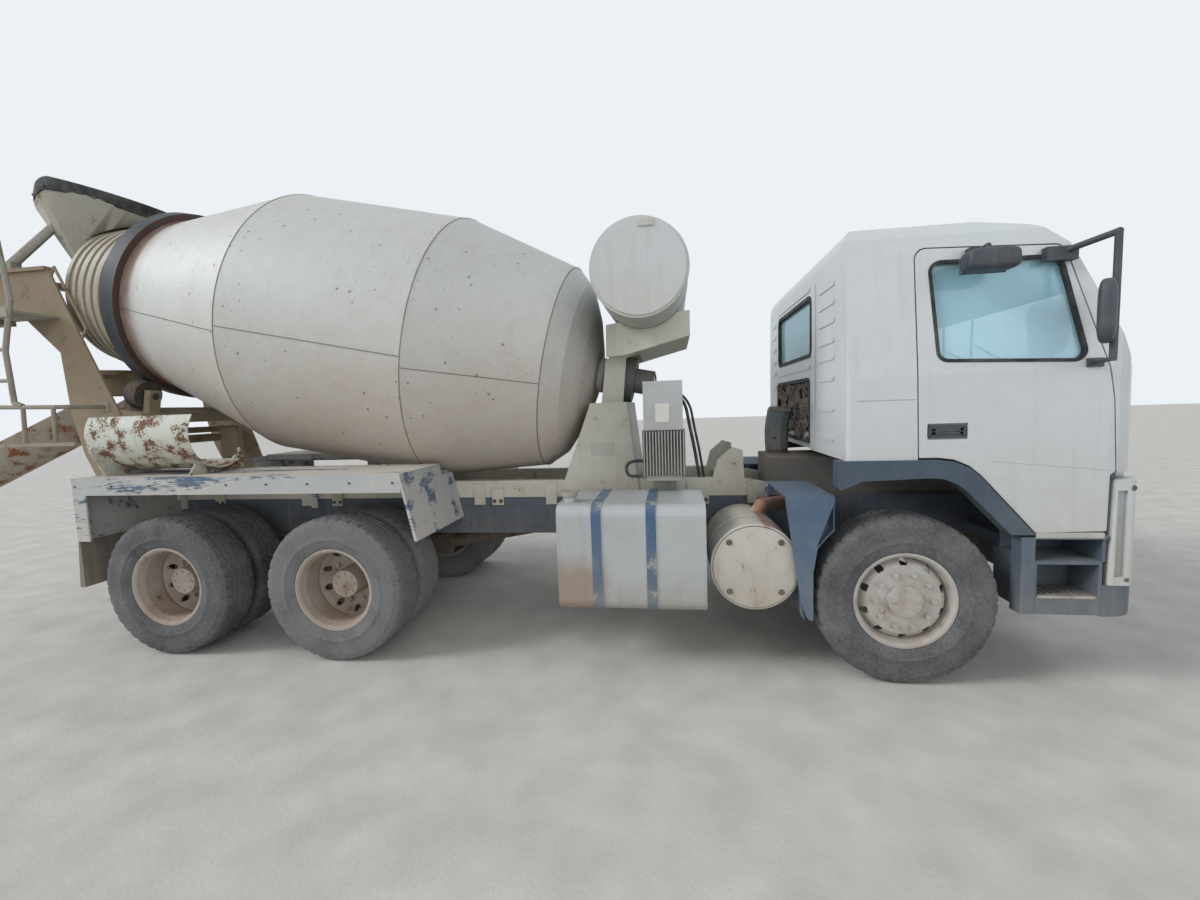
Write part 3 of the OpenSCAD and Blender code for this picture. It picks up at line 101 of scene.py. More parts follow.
class Finish:
    def __init__(self, name):
        self.material = bpy.data.materials.new(name)
        self.material.use_nodes = True
        self.tree = self.material.node_tree
        self.tree.nodes.clear()
        self.place = self.node("ShaderNodeTexCoord", {}, {}, "Object")

    def node(self, kind, settings, sockets, output=0):
        made = self.tree.nodes.new(kind)
        for key, value in settings.items():
            setattr(made, key, value)
        for key, value in sockets.items():
            if isinstance(value, Maths):
                self.tree.links.new(value.socket, made.inputs[key])
            else:
                made.inputs[key].default_value = value
        return Maths(self, made.outputs[output])

    def noise(self, size, detail=4, stretch=(1, 1, 1)):
        where = self.node("ShaderNodeMapping", {}, {"Vector": self.place, "Scale": stretch})
        return self.node("ShaderNodeTexNoise", {}, {"Vector": where, "Scale": 1 / size, "Detail": detail})

    def axis(self, letter):
        """How far along the truck, X, or how high, Z."""
        return self.node("ShaderNodeSeparateXYZ", {}, {0: self.place}, letter)

    def facing_up(self):
        normal = self.node("ShaderNodeNewGeometry", {}, {}, "Normal")
        return self.node("ShaderNodeSeparateXYZ", {}, {0: normal}, "Z").span(0.2, 1.0)

    def mixed(self, mask, under, over):
        under, over = (c if isinstance(c, Maths) else (*c, 1.0) for c in (under, over))
        return self.node("ShaderNodeMix", {"data_type": "RGBA"}, {0: mask, 6: under, 7: over}, 2)

    def close(self, bumps=None, depth=0.001, **sockets):
        """The shader itself, with an optional bump of so many metres."""
        if bumps is not None:
            sockets["Normal"] = self.node("ShaderNodeBump", {}, {"Height": bumps, "Distance": depth})
        named = {key.replace("_", " "): value for key, value in sockets.items()}
        shader = self.node("ShaderNodeBsdfPrincipled", {}, named)
        out = self.tree.nodes.new("ShaderNodeOutputMaterial")
        self.tree.links.new(shader.socket, out.inputs["Surface"])
        return self.material


def linear(r, g, b):
    """Screen colour of 0 to 255 as the light value a shader takes."""
    return tuple(((v / 255 + 0.055) / 1.055) ** 2.4 if v > 10 else v / 3295 for v in (r, g, b))


def meshed(points, faces):
    mesh = bpy.data.meshes.new("made")
    mesh.from_pydata(points, [], faces)
    return mesh


yard = Finish("yard")
yard_colour = yard.mixed(yard.noise(0.3, 5).span(0.3, 0.7), linear(205, 202, 196), linear(188, 185, 179))
yard_material = yard.close(yard.noise(0.02, 3), 0.002, Base_Color=yard_colour, Roughness=0.9)
reach = 60
ground = meshed([(x * reach, y * reach, 0) for x, y in ((-1, -1), (1, -1), (1, 1), (-1, 1))], [(0, 1, 2, 3)])
ground.materials.append(yard_material)
floor = bpy.data.objects.new("floor", ground)
floor.location.z = -0.0005
scene.collection.objects.link(floor)

sky = bpy.data.worlds.new("sky")
sky.use_nodes = True
scene.world = sky
links, nodes = sky.node_tree.links, sky.node_tree.nodes
backdrop = nodes.new("ShaderNodeBackground")
backdrop.inputs[0].default_value = (*linear(236, 241, 246), 1)
ambient = nodes["Background"]
ambient.inputs[0].default_value = (0.90, 0.95, 1.0, 1)
ambient.inputs[1].default_value = 0.55
path, which = nodes.new("ShaderNodeLightPath"), nodes.new("ShaderNodeMixShader")
seen = path.outputs["Is Camera Ray"]
for ray in ("Is Glossy Ray", "Is Transmission Ray"):
    either = nodes.new("ShaderNodeMath")
    either.operation = "MAXIMUM"
    links.new(seen, either.inputs[0])
    links.new(path.outputs[ray], either.inputs[1])
    seen = either.outputs[0]
links.new(seen, which.inputs[0])
links.new(ambient.outputs[0], which.inputs[1])
links.new(backdrop.outputs[0], which.inputs[2])
links.new(which.outputs[0], nodes["World Output"].inputs[0])
for lamp_name, comes_from, energy, angle in (("high_sun", (-0.78, -0.30, 0.55), 1.40, 18),
                                             ("side_fill", (0.52, -0.85, 0.04), 1.35, 70),
                                             ("rear_fill", (-0.94, -0.22, 0.24), 0.70, 60)):
    lamp = bpy.data.lights.new(lamp_name, "SUN")
    lamp.energy, lamp.angle = energy, math.radians(angle)
    lamp_object = bpy.data.objects.new(lamp_name, lamp)
    lamp_object.rotation_euler = Vector(comes_from).to_track_quat("Z", "Y").to_euler()
    scene.collection.objects.link(lamp_object)


# Frame: pressed steel rails and cross members in blue-grey paint, red with yard dust, and the
# pale beams of the mixer body bolted on top of them.
def weathered(name, paint, faded, dirt, line, rough=0.55, settle=0.6, chips=None, chipped=0.0, metal=0.0,
              lumps=0.0015, specks=None, stained=None, way=(1, 1, 1)):
    """Paint that fades in clouds, with dirt below a line of heights and on what faces up, chips, and
    small dark specks where dried cement has fallen off. A piece's own stains come from a function."""
    paint, faded, dirt, chips, specks = (c and linear(*c) for c in (paint, faded, dirt, chips, specks))
    f = Finish(name)
    clouds, mottle, grain = f.noise(0.9, 3), f.noise(0.11, 6, way), f.noise(0.012, 4, way)
    runs = f.noise(0.045, 5, (1, 1, 0.07))
    film = (1 - f.axis("Z").span(*line)) * (0.25 + mottle * 0.9)
    film = film + f.facing_up() * settle * (0.2 + mottle) + runs.span(0.56, 0.8) * 0.45
    film = (film * (0.55 + clouds * 0.7)).span(0.0, 1.0)
    colour = f.mixed(clouds.span(0.35, 0.7) * 0.6 + mottle.span(0.4, 0.7) * 0.4, paint, faded)
    colour = f.mixed(film * 0.85, colour, dirt)
    if stained:
        colour = stained(f, colour, mottle)
    bumps, dull = mottle * 0.5 + grain * 0.35, film * 0.3 + rough
    if specks:
        for per_metre in (9.0, 21.0):
            near = f.node("ShaderNodeTexVoronoi", {}, {"Vector": f.place, "Scale": per_metre}, "Distance")
            dots = (1 - near.span(0.07, 0.12)) * clouds.span(0.42, 0.50)
            colour = f.mixed(dots * 0.7, colour, specks)
    if chips:
        rubbed, wear = mottle * 0.65 + grain * 0.35, chipped * 0.3
        worn, edge = rubbed.span(0.66 - wear, 0.69 - wear), rubbed.span(0.62 - wear, 0.66 - wear)
        halo = tuple((a + b) / 2 for a, b in zip(chips, dirt))
        colour = f.mixed(worn, f.mixed(edge * 0.55, colour, halo), chips)
        bumps, dull = bumps - worn * 0.4, dull + worn * 0.2
    return f.close(bumps, lumps, Base_Color=colour, Roughness=dull.span(0.0, 1.0), Metallic=metal)


def coat(material, *nodes):
    for name in nodes:
        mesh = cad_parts[name].data
        mesh.materials.clear()
        mesh.materials.append(material)


red_dust, tan_dust = (140, 124, 108), (168, 154, 132)
rail_paint = weathered("rail_paint", (58, 74, 90), (78, 90, 102), red_dust, (0.2, 1.2), 0.6, 0.9)
khaki_paint = weathered("khaki_paint", (200, 200, 188), (184, 181, 166), (176, 162, 144), (0.8, 1.5),
                        0.6, 0.6, (128, 100, 78), 0.05)
dark_steel = weathered("dark_steel", (58, 56, 54), (76, 72, 68), red_dust, (0.2, 1.4),
                       0.6, 0.7, (92, 62, 44), 0.25)
coat(rail_paint, "chassis_rails", "battery_box")
coat(khaki_paint, "subframe", "front_pedestal")


def shown(name, mesh, material, body="chassis", smooth=True):
    """Puts a finished mesh in the scene as one piece, riding on a body."""
    mesh.materials.clear()
    mesh.materials.append(material)
    if smooth:
        mesh.shade_smooth()
        mesh.set_sharp_from_angle(angle=math.radians(35))
    made = bpy.data.objects.new(name, mesh)
    scene.collection.objects.link(made)
    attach(made, body)
    return made


def merged(*meshes, places=(Matrix.Identity(4),)):
    """One mesh of several, copied to each place."""
    points, faces = [], []
    for place in places:
        for mesh in meshes:
            faces += [[i + len(points) for i in face.vertices] for face in mesh.polygons]
            points += [place @ v.co for v in mesh.vertices]
    return meshed(points, faces)


def settled(holder):
    """The plain mesh of an object after its modifiers."""
    return bpy.data.meshes.new_from_object(holder.evaluated_get(bpy.context.evaluated_depsgraph_get()))


def bolt_tree():
    """Hexagon bolts on round washers, along a line or round a ring."""
    tree = bpy.data.node_groups.new("bolts", "GeometryNodeTree")
    for label, kind in (("Count", "Int"), ("Ring radius", "Float"), ("Step", "Vector"), ("Across", "Float"),
                        ("Head", "Float"), ("Paint", "Material")):
        tree.interface.new_socket(label, in_out="INPUT", socket_type="NodeSocket" + kind)
    tree.interface.new_socket("Geometry", in_out="OUTPUT", socket_type="NodeSocketGeometry")

    def add(kind, inputs, **settings):
        made = tree.nodes.new(kind)
        for key, value in settings.items():
            setattr(made, key, value)
        for key, value in inputs.items():
            if isinstance(value, bpy.types.NodeSocket):
                tree.links.new(value, made.inputs[key])
            else:
                made.inputs[key].default_value = value
        return made.outputs[0]

    given = tree.nodes.new("NodeGroupInput").outputs
    ring = add("GeometryNodeMeshCircle", {"Vertices": given["Count"], "Radius": given["Ring radius"]})
    line = add("GeometryNodeMeshLine", {"Count": given["Count"], "Offset": given["Step"]})
    round_about = add("FunctionNodeCompare", {0: given["Ring radius"], 1: 0.001}, operation="GREATER_THAN")
    choice = {"Switch": round_about, "False": line, "True": ring}
    spots = add("GeometryNodeSwitch", choice, input_type="GEOMETRY")
    across, deep = given["Across"], given["Head"]
    head = add("GeometryNodeMeshCylinder", {"Vertices": 6, "Radius": across, "Depth": deep})
    wide, thin, drop = (add("ShaderNodeMath", {0: size, 1: share}, operation="MULTIPLY")
                        for size, share in ((across, 1.35), (deep, 0.3), (deep, -0.4)))
    washer = add("GeometryNodeMeshCylinder", {"Vertices": 14, "Radius": wide, "Depth": thin})
    seat = add("ShaderNodeCombineXYZ", {2: drop})
    washer = add("GeometryNodeTransform", {"Geometry": washer, "Translation": seat})
    joined = tree.nodes.new("GeometryNodeJoinGeometry")
    for part in (head, washer):
        tree.links.new(part, joined.inputs[0])
    placed = add("GeometryNodeInstanceOnPoints", {"Points": spots, "Instance": joined.outputs[0]})
    real = add("GeometryNodeRealizeInstances", {"Geometry": placed})
    painted = add("GeometryNodeSetMaterial", {"Geometry": real, "Material": given["Paint"]})
    tree.links.new(painted, tree.nodes.new("NodeGroupOutput").inputs[0])
    return tree


bolts = bolt_tree()


def bolted(name, places, across, head, count=1, ring=0.0, step=0.0, paint=dark_steel, body="chassis"):
    """One piece of bolts: at each place a single one, a line of them with a step, or a ring."""
    carrier = bpy.data.objects.new("carrier", bpy.data.meshes.new("carrier"))
    scene.collection.objects.link(carrier)
    modifier = carrier.modifiers.new("made", "NODES")
    modifier.node_group = bolts
    keys = {item.name: item.identifier for item in bolts.interface.items_tree if item.in_out == "INPUT"}
    for label, value in (("Count", count), ("Ring radius", ring), ("Step", (step, 0.0, 0.0)),
                         ("Across", across), ("Head", head), ("Paint", paint)):
        modifier[keys[label]] = value
    heads = settled(carrier)
    bpy.data.objects.remove(carrier)
    return shown(name, merged(heads, places=places), paint, body, False)


def facing(point, outward):
    """Turns a tree's own up towards an outward direction, at a point."""
    return Matrix.Translation(point) @ Vector(outward).to_track_quat("Z", "Y").to_matrix().to_4x4()


def forwards(place):
    """The same place with its line of bolts running to the front."""
    return place @ Matrix.Rotation(math.pi, 4, "Z") if place.to_3x3().col[0].x < 0 else place


rail_web = 0.4255
rail_places = [forwards(facing((rear_axle + x, side * rail_web, z), (0, side, 0)))
               for side in (-1, 1) for x in (-1.1, 2.1) for z in (0.82, 0.98)]
bolted("rail_bolts", rail_places, 0.013, 0.012, 5, step=0.09)

# Running gear: forged axle and knuckles, banjo housings and springs, all black once and now
# the colour of the road; engine and gearbox are grey castings.
cast_grey = weathered("cast_grey", (96, 100, 102), (116, 116, 112), red_dust, (0.6, 1.8), 0.65, 0.8)
coat(dark_steel, "leaf_springs", "front_axle", "rear_axles", "propshafts")
coat(dark_steel, "knuckle_left", "knuckle_right", "tie_rod")
coat(cast_grey, "engine", "drum_drive")

# Tyres: worn road tyres with four grooves round the tread and lugs at the shoulders,
# one piece for a single wheel and one for each pair of twins.
hands = (("left", 1), ("right", -1))
axle_places = {"front": rear_axle + 5.18, "middle": rear_axle + 1.37, "rear": rear_axle}
front = axle_places["front"]
tyre_radius, outer_wheel, inner_wheel = 0.526, 1.09, 0.748
tyre_rubber = Finish("tyre_rubber")
# The mix of dark rubber and light grey is real dust in clouds, plus a painted sheen that makes the middle
# axle's tyres lighter all over.
where = tyre_rubber.axis("X") - axle_places["middle"]
middle_tyre_sheen = where.span(-0.70, -0.64) - where.span(0.64, 0.70)
tyre_dust_and_sheen = tyre_rubber.noise(0.25, 5) * 0.7 + tyre_rubber.noise(0.02, 4) * 0.5 + middle_tyre_sheen * 0.2
tyre_colour = tyre_rubber.mixed(tyre_dust_and_sheen.span(0.35, 0.85), linear(58, 59, 61), linear(112, 112, 113))
tyre_rubber = tyre_rubber.close(tyre_dust_and_sheen, 0.001, Base_Color=tyre_colour, Roughness=0.9)

# Half of the section from the middle of the tread to the bead: radius, side and kind of point,
# which is 0 on plain rubber, 1 at a zigzag groove and 2 at a shoulder lug.
crown = [(tyre_radius, 0.0, 0), (0.526, 0.026, 1), (0.515, 0.029, 1), (0.515, 0.037, 1), (0.526, 0.040, 1),
         (0.5255, 0.070, 1), (0.5145, 0.073, 1), (0.5145, 0.082, 1), (0.525, 0.085, 2), (0.5235, 0.108, 2),
         (0.514, 0.130, 2), (0.500, 0.137, 2)]
wall = [(0.478, 0.144), (0.470, 0.1465), (0.464, 0.1465), (0.440, 0.149), (0.412, 0.150), (0.380, 0.1485),
        (0.376, 0.1505), (0.368, 0.1505), (0.364, 0.1475), (0.345, 0.1445), (0.322, 0.137), (0.3045, 0.128),
        (0.3003, 0.114), (0.2825, 0.108), (0.300, 0.084)]
half_section = crown + [(r, y, 0) for r, y in wall]
tyre_section = half_section + [(r, -y, kind) for r, y, kind in reversed(half_section[1:])]


def tyre_mesh(along, middles, side, steps=200, zigzag=0.003, gap=0.009, sipe=0.004):
    """Tyres at one end of an axle, their shoulders cut and their grooves nicked at every fifth step."""
    points, faces, n = [], [], len(tyre_section)
    for middle in middles:
        start = len(points)
        for step in range(steps):
            angle = 2 * math.pi * step / steps
            sway = zigzag if step % 10 < 5 else -zigzag
            for r, y, kind in tyre_section:
                if kind == 1:
                    r -= sipe if step % 5 == 2 and r > 0.52 else 0
                    y += math.copysign(1, y) * sway
                elif kind == 2 and step % 5 == 0:
                    r -= gap
                height = tyre_radius + r * math.cos(angle)
                points.append((along + r * math.sin(angle), side * (middle + y), height))
        for step in range(steps):
            a, b = start + step * n, start + (step + 1) % steps * n
            for i in range(n):
                quad = [a + i, a + (i + 1) % n, b + (i + 1) % n, b + i]
                faces.append(quad if side > 0 else quad[::-1])
    return meshed(points, faces)


for axle, along in axle_places.items():
    for hand, side in hands:
        plural, middles = ("", [outer_wheel]) if axle == "front" else ("s", [outer_wheel, inner_wheel])
        place = f"{plural}_{axle}_{hand}"
        tread = tyre_mesh(along, middles, side)
        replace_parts(shown(f"tyre{place}_tread", tread, tyre_rubber, f"wheel{place}"), f"tyre{place}")

# Wheels: pressed steel discs with hand holes, ten nuts each, and a hub cap in the middle;
# silver paint gone grey in front, and brown with dry mud at the back.
front_wheel = weathered("front_wheel_paint", (188, 188, 183), (168, 166, 160), (150, 130, 116), (0.1, 1.0),
                        0.5, 0.2, (132, 106, 92), 0.06)
rear_wheel = weathered("rear_wheel_paint", (176, 170, 162), (154, 142, 130), (140, 118, 100), (0.1, 1.1),
                       0.65, 0.4, (112, 86, 70), 0.1)
nut_circle, cap_circle = 0.1675, 0.075
coat(front_wheel, "rim_front_left", "rim_front_right")
coat(rear_wheel, *[f"rims_{axle}_{hand}" for axle in ("middle", "rear") for hand, side in hands])
for axle, along in axle_places.items():
    for hand, side in hands:
        paint, body, disc, cap = rear_wheel, f"wheels_{axle}_{hand}", -0.145, -0.007
        if axle == "front":
            paint, body, disc, cap = front_wheel, f"wheel_{axle}_{hand}", 0.118, 0.139
        nuts, caps = ([facing((along, side * (outer_wheel + out), tyre_radius), (0, side, 0))]
                      for out in (disc, cap))
        bolted(f"wheel_nuts_{axle}_{hand}", nuts, 0.016, 0.024, 10, nut_circle, paint=paint, body=body)
        bolted(f"hub_bolts_{axle}_{hand}", caps, 0.008, 0.008, 8, cap_circle, paint=paint, body=body)

# Drum: rolled courses of steel plate butt welded round and along, painted off-white, with
# dried splashes; the black ring runs on two rollers.
tilt = math.radians(11.5)
drum_place = Matrix.Translation((rear_axle + 3.193, 0, 2.045)) @ Matrix.Rotation(tilt - math.pi / 2, 4, "Y")


def along_drum(f):
    """Distance along the drum's axis from its front head."""
    axis = drum_place.to_3x3() @ Vector((0, 0, 1))
    towards = f.node("ShaderNodeVectorMath", {"operation": "DOT_PRODUCT"}, {0: f.place, 1: axis}, "Value")
    return towards - axis.dot(drum_place.translation)


def drum_stains(f, colour, mottle):
    """Rust-red rubbed off the ring, and a cement-brown collar behind it."""
    course = along_drum(f)
    rusty = course.span(3.66, 3.89) * (mottle * 0.9 + 0.4)
    colour = f.mixed(rusty.span(0.0, 1.0) * 0.8, colour, linear(142, 100, 82))
    splashed = course.span(3.99, 4.03) * (mottle * 0.5 + 0.6).span(0.0, 1.0)
    return f.mixed(splashed, colour, linear(158, 152, 134))


# The drum's warm pinkish film low down is partly real dust and partly painted warm light bounced up from the
# ground.
drum_paint = weathered("drum_paint", (190, 194, 193), (180, 182, 178), (192, 168, 148), (1.5, 2.75), 0.5, 0.2,
                       specks=(96, 92, 88), stained=drum_stains)
coat(drum_paint, "drum")
coat(dark_steel, "roller_left", "roller_right")


def turned(section, place, steps=96):
    """A closed section of radius and height turned about its own axis and put in place."""
    points, faces, n = [], [], len(section)
    for step in range(steps):
        angle = 2 * math.pi * step / steps
        points += [place @ Vector((r * math.cos(angle), r * math.sin(angle), h)) for r, h in section]
        a, b = step * n, (step + 1) % steps * n
        faces += [[a + i, b + i, b + (i + 1) % n, a + (i + 1) % n] for i in range(n)]
    return meshed(points, faces)


# Distance from the front head and radius at each end of the drum's courses, and its weld beads,
# which lie round three of the joints and along three of the courses.
courses = [(0.0, 0.0), (0.192, 0.729), (0.322, 0.852), (1.26, 1.117), (2.708, 1.135), (3.916, 0.778),
           (4.662, 0.603)]
weld_grey = weathered("weld_grey", (128, 126, 118), (112, 106, 96), (132, 118, 102), (1.0, 2.0), 0.7, 0.2)
bead, spread, sunk, proud = 0.003, 0.005, 0.004, 0.0025


def lengthwise(start, end, turn):
    points = []
    for s, r in (start, end):
        for across, lift in ((-bead, -sunk), (-bead, proud), (bead, proud), (bead, -sunk)):
            spin = math.radians(turn) + across / r
            out = Vector((math.cos(spin), math.sin(spin), 0)) * (r + lift)
            points.append(drum_place @ (out + Vector((0, 0, s))))
    sides = [(i, (i + 1) % 4, (i + 1) % 4 + 4, i + 4) for i in range(4)]
    return meshed(points, sides + [(3, 2, 1, 0), (4, 5, 6, 7)])


welds = []
for s, r in courses[2:5]:
    bead_edges = ((-sunk, -spread), (proud, -bead), (proud, bead), (-sunk, spread))
    welds.append(turned([(r + lift, s + across) for lift, across in bead_edges], drum_place, 128))
welds += [lengthwise(courses[i], courses[i + 1], turn) for i, turn in ((2, -101), (3, -97), (4, -99))]
shown("drum_welds", merged(*welds), weld_grey, "drum")
tar = Finish("ring_grease")
tar_colour = tar.mixed(tar.noise(0.15, 5).span(0.45, 0.75), linear(22, 32, 38), linear(52, 60, 64))
rusty_edge = 1 - (along_drum(tar) + tar.noise(0.03, 4) * 0.006).span(3.905, 3.913)
tar_colour = tar.mixed(rusty_edge * 0.6, tar_colour, linear(92, 68, 58))
tar = tar.close(tar.noise(0.02, 4), 0.001, Base_Color=tar_colour, Roughness=0.55)
ring_band = turned([(0.80, 3.9015), (0.8535, 3.9015), (0.8535, 4.0185), (0.775, 4.0185), (0.775, 4.015),
                    (0.846, 4.012), (0.846, 3.905), (0.80, 3.905)], drum_place, 128)
shown("roller_ring_face", ring_band, tar, "drum")

# Drum collar, hopper and rear support: sand-coloured steel under years of cement splashes, and
# two chutes whose paint is mostly worn through to rust.
crust = weathered("cement_crust", (154, 152, 142), (138, 132, 118), (140, 120, 98), (0.8, 2.6), 0.8, 0.4,
                  (112, 92, 72), 0.12, lumps=0.006)
sandy = weathered("sandy_crust", (148, 134, 112), (130, 114, 94), (156, 144, 122), (0.8, 2.9), 0.85, 0.5,
                  (96, 72, 54), 0.15, lumps=0.006)
chute_finish = weathered("chute_rust", (158, 152, 140), (136, 124, 110), (170, 160, 144), (0.6, 2.2),
                         0.85, 0.6, (122, 78, 48), 0.4, lumps=0.005)
spare_finish = weathered("spare_chute_paint", (198, 206, 198), (184, 184, 170), (162, 142, 118), (1.2, 1.8),
                         0.7, 0.3, (106, 74, 54), 0.42, lumps=0.003)
coat(crust, "ladder")
coat(sandy, "rear_pedestal", "chute_carrier")
coat(chute_finish, "main_chute")
coat(spare_finish, "spare_chute")
rubber = Finish("rubber")
rubber_dust = rubber.noise(0.08, 5)
rubber_colour = rubber.mixed(rubber_dust.span(0.4, 0.75), linear(34, 37, 41), linear(84, 82, 78))
rubber = rubber.close(rubber_dust, 0.001, Base_Color=rubber_colour, Roughness=0.8)

# Hopper: a scoop folded from plate, flat along its sides and rounded short at the back, with a
# skirt of black belting bolted round its rim and hanging over the drum's mouth.
hopper_place = Matrix.Translation((rear_axle - 1.62, 0, 3.81)) @ Matrix.Rotation(math.radians(15), 4, "Y")
to_rim = hopper_place.inverted()
bend_x, drawn, narrowed, droop, ease = rear_axle - 1.565, 0.50, 0.06, 0.85, 0.12


def drawn_in(p):
    """Where a point of the solid scoop lies on the real one, whose back is shorter and bent down."""
    local = to_rim @ p
    radius = math.hypot(local.x, local.y)
    above = min(1.0, max(0.0, (local.z + 0.45) / 0.43))
    if radius < 0.05 or above == 0:
        return p
    kept = 1 - drawn * max(0.0, -local.x / radius) * above
    moved = hopper_place @ Vector((local.x * kept, local.y * (1 - narrowed * above), local.z))
    past = max(0.0, bend_x - moved.x)
    moved.z -= droop * past * past / (past + ease) * above
    return moved


def opened(node):
    """A working copy of a solid's mesh, with its loose triangles joined."""
    made = bmesh.new()
    made.from_mesh(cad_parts[node].data)
    bmesh.ops.remove_doubles(made, verts=made.verts, dist=0.00002)
    return made


def closed(made):
    mesh = bpy.data.meshes.new("made")
    made.to_mesh(mesh)
    made.free()
    return mesh


scoop = opened("hopper")
for vert in scoop.verts:
    vert.co = drawn_in(vert.co)
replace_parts(shown("hopper_scoop", closed(scoop), crust), "hopper")
skirt = turned([(0.556, 0.025), (0.567, 0.03), (0.572, 0.08), (0.568, 0.13), (0.556, 0.139), (0.545, 0.126)],
               hopper_place, 96)
for vert in skirt.vertices:
    vert.co = drawn_in(vert.co)
shown("hopper_rubber", skirt, rubber)
rim_bolts, bolt_circle, bolt_height = [], 0.574, 0.06
for step in range(18):
    angle = math.radians(20 * step + 10)
    out = Vector((math.cos(angle), math.sin(angle), 0))
    spot = drawn_in(hopper_place @ (out * bolt_circle + Vector((0, 0, bolt_height))))
    rim_bolts.append(facing(spot, hopper_place.to_3x3() @ out))
bolted("hopper_bolts", rim_bolts, 0.01, 0.008)

# Tanks and boxes beside the frame: a bare aluminium fuel tank with blue straps, the drum-like
# silencer, the water tank behind the cab and the finned oil cooler.
tank_x = rear_axle + 3.027


def tank_stains(f, colour, mottle):
    """Brown mud thrown up by the wheels on the rear lower corner."""
    behind = 1 - (f.axis("X") + mottle * 0.2).span(tank_x + 0.30, tank_x + 0.46)
    below = 1 - (f.axis("Z") + mottle * 0.2).span(0.78, 0.92)
    return f.mixed(behind * below * 0.75, colour, linear(146, 124, 106))


def pipe_rust(f, colour, mottle):
    """Heat has browned the silencer's pipe."""
    hot = f.axis("X").span(rear_axle + 4.34, rear_axle + 4.37) * f.axis("Z").span(0.96, 0.99)
    return f.mixed(hot * (mottle * 0.6 + 0.6).span(0.0, 1.0), colour, linear(150, 104, 80))


tank_metal = weathered("tank_metal", (178, 182, 183), (166, 170, 170), (150, 138, 122), (0.38, 0.75),
                       0.45, 0.1, metal=0.2, stained=tank_stains)
silencer_paint = weathered("silencer_paint", (192, 189, 181), (180, 175, 165), (156, 140, 122), (0.4, 0.8),
                           0.6, 0.4, (110, 88, 66), 0.05, stained=pipe_rust)
tank_white = weathered("tank_white", (192, 196, 198), (183, 186, 185), (176, 166, 150), (2.2, 2.7),
                       0.45, 0.35)
cooler_metal = weathered("cooler_metal", (172, 176, 176), (156, 158, 157), (140, 128, 112), (1.2, 1.9),
                         0.5, 0.4, metal=0.2)
strap_blue = weathered("strap_blue", (52, 84, 118), (80, 104, 126), (140, 136, 128), (0.4, 1.0), 0.6, 0.4,
                       (160, 158, 150), 0.25)
coat(tank_metal, "fuel_tank")
coat(silencer_paint, "silencer")
coat(tank_white, "water_tank")
coat(cooler_metal, "oil_cooler")


def rounded(corners, steps=6):
    """Outline with each corner rounded to its own radius."""
    points = []
    for i, (x, y, r) in enumerate(corners):
        here = Vector((x, y))
        back, forth = (Vector(corners[j % len(corners)][:2]) - here for j in (i - 1, i + 1))
        if r == 0:
            points.append(here)
            continue
        half = back.angle(forth) / 2
        centre = here + (back.normalized() + forth.normalized()).normalized() * r / math.sin(half)
        start = here + back.normalized() * r / math.tan(half) - centre
        turn = start.angle_signed(here + forth.normalized() * r / math.tan(half) - centre)
        points += [centre + Matrix.Rotation(-turn * k / steps, 2) @ start for k in range(steps + 1)]
    return points


def oblong(x0, x1, y0, y1, foot, head=None):
    """A rectangle with rounded corners, those at its head rounded another way if so said."""
    head = foot if head is None else head
    return rounded([(x0, y0, foot), (x1, y0, foot), (x1, y1, head), (x0, y1, head)])


def shifted(points, out):
    """The same outline moved outwards by a distance, for outlines drawn the anticlockwise way."""
    moved = []
    for i, p in enumerate(points):
        a = (p - points[i - 1]).normalized()
        b = (points[(i + 1) % len(points)] - p).normalized()
        moved.append(p + (Vector((a.y, -a.x)) + Vector((b.y, -b.x))) * out / (1 + a.dot(b)))
    return moved


def framed(outline, put, inner, outer, near, far):
    """A closed frame along an outline, between two distances out from it and two depths of put."""
    edges = ((inner, near), (outer, near), (outer, far), (inner, far))
    points = [put(p, depth) for out, depth in edges for p in shifted(outline, out)]
    n, faces = len(outline), []
    for i in range(n):
        j = (i + 1) % n
        faces += [[k * n + i, k * n + j, (k + 1) % 4 * n + j, (k + 1) % 4 * n + i] for k in range(4)]
    return meshed(points, faces)


tank_skin = oblong(-1.24, -0.56, 0.43, 1.135, 0.07)
straps = [framed(tank_skin, lambda p, out: (x + out, p.x, p.y), 0.004, 0.0065, -0.032, 0.032)
          for x in (tank_x + 0.265, tank_x + 0.62)]
shown("tank_straps", merged(*straps), strap_blue)
cap_place = Matrix.Translation((tank_x + 0.07, -1.10, 1.17))
cap_section = [(0.02, 0.0), (0.05, 0.0), (0.054, 0.004), (0.054, 0.022), (0.046, 0.03), (0.02, 0.034)]
cap_bar = framed(oblong(-0.06, 0.06, -0.008, 0.008, 0), lambda p, lift: cap_place @ Vector((*p, lift)),
                 0, 0.006, 0.03, 0.045)
shown("tank_cap", merged(turned(cap_section, cap_place, 32), cap_bar), cooler_metal)

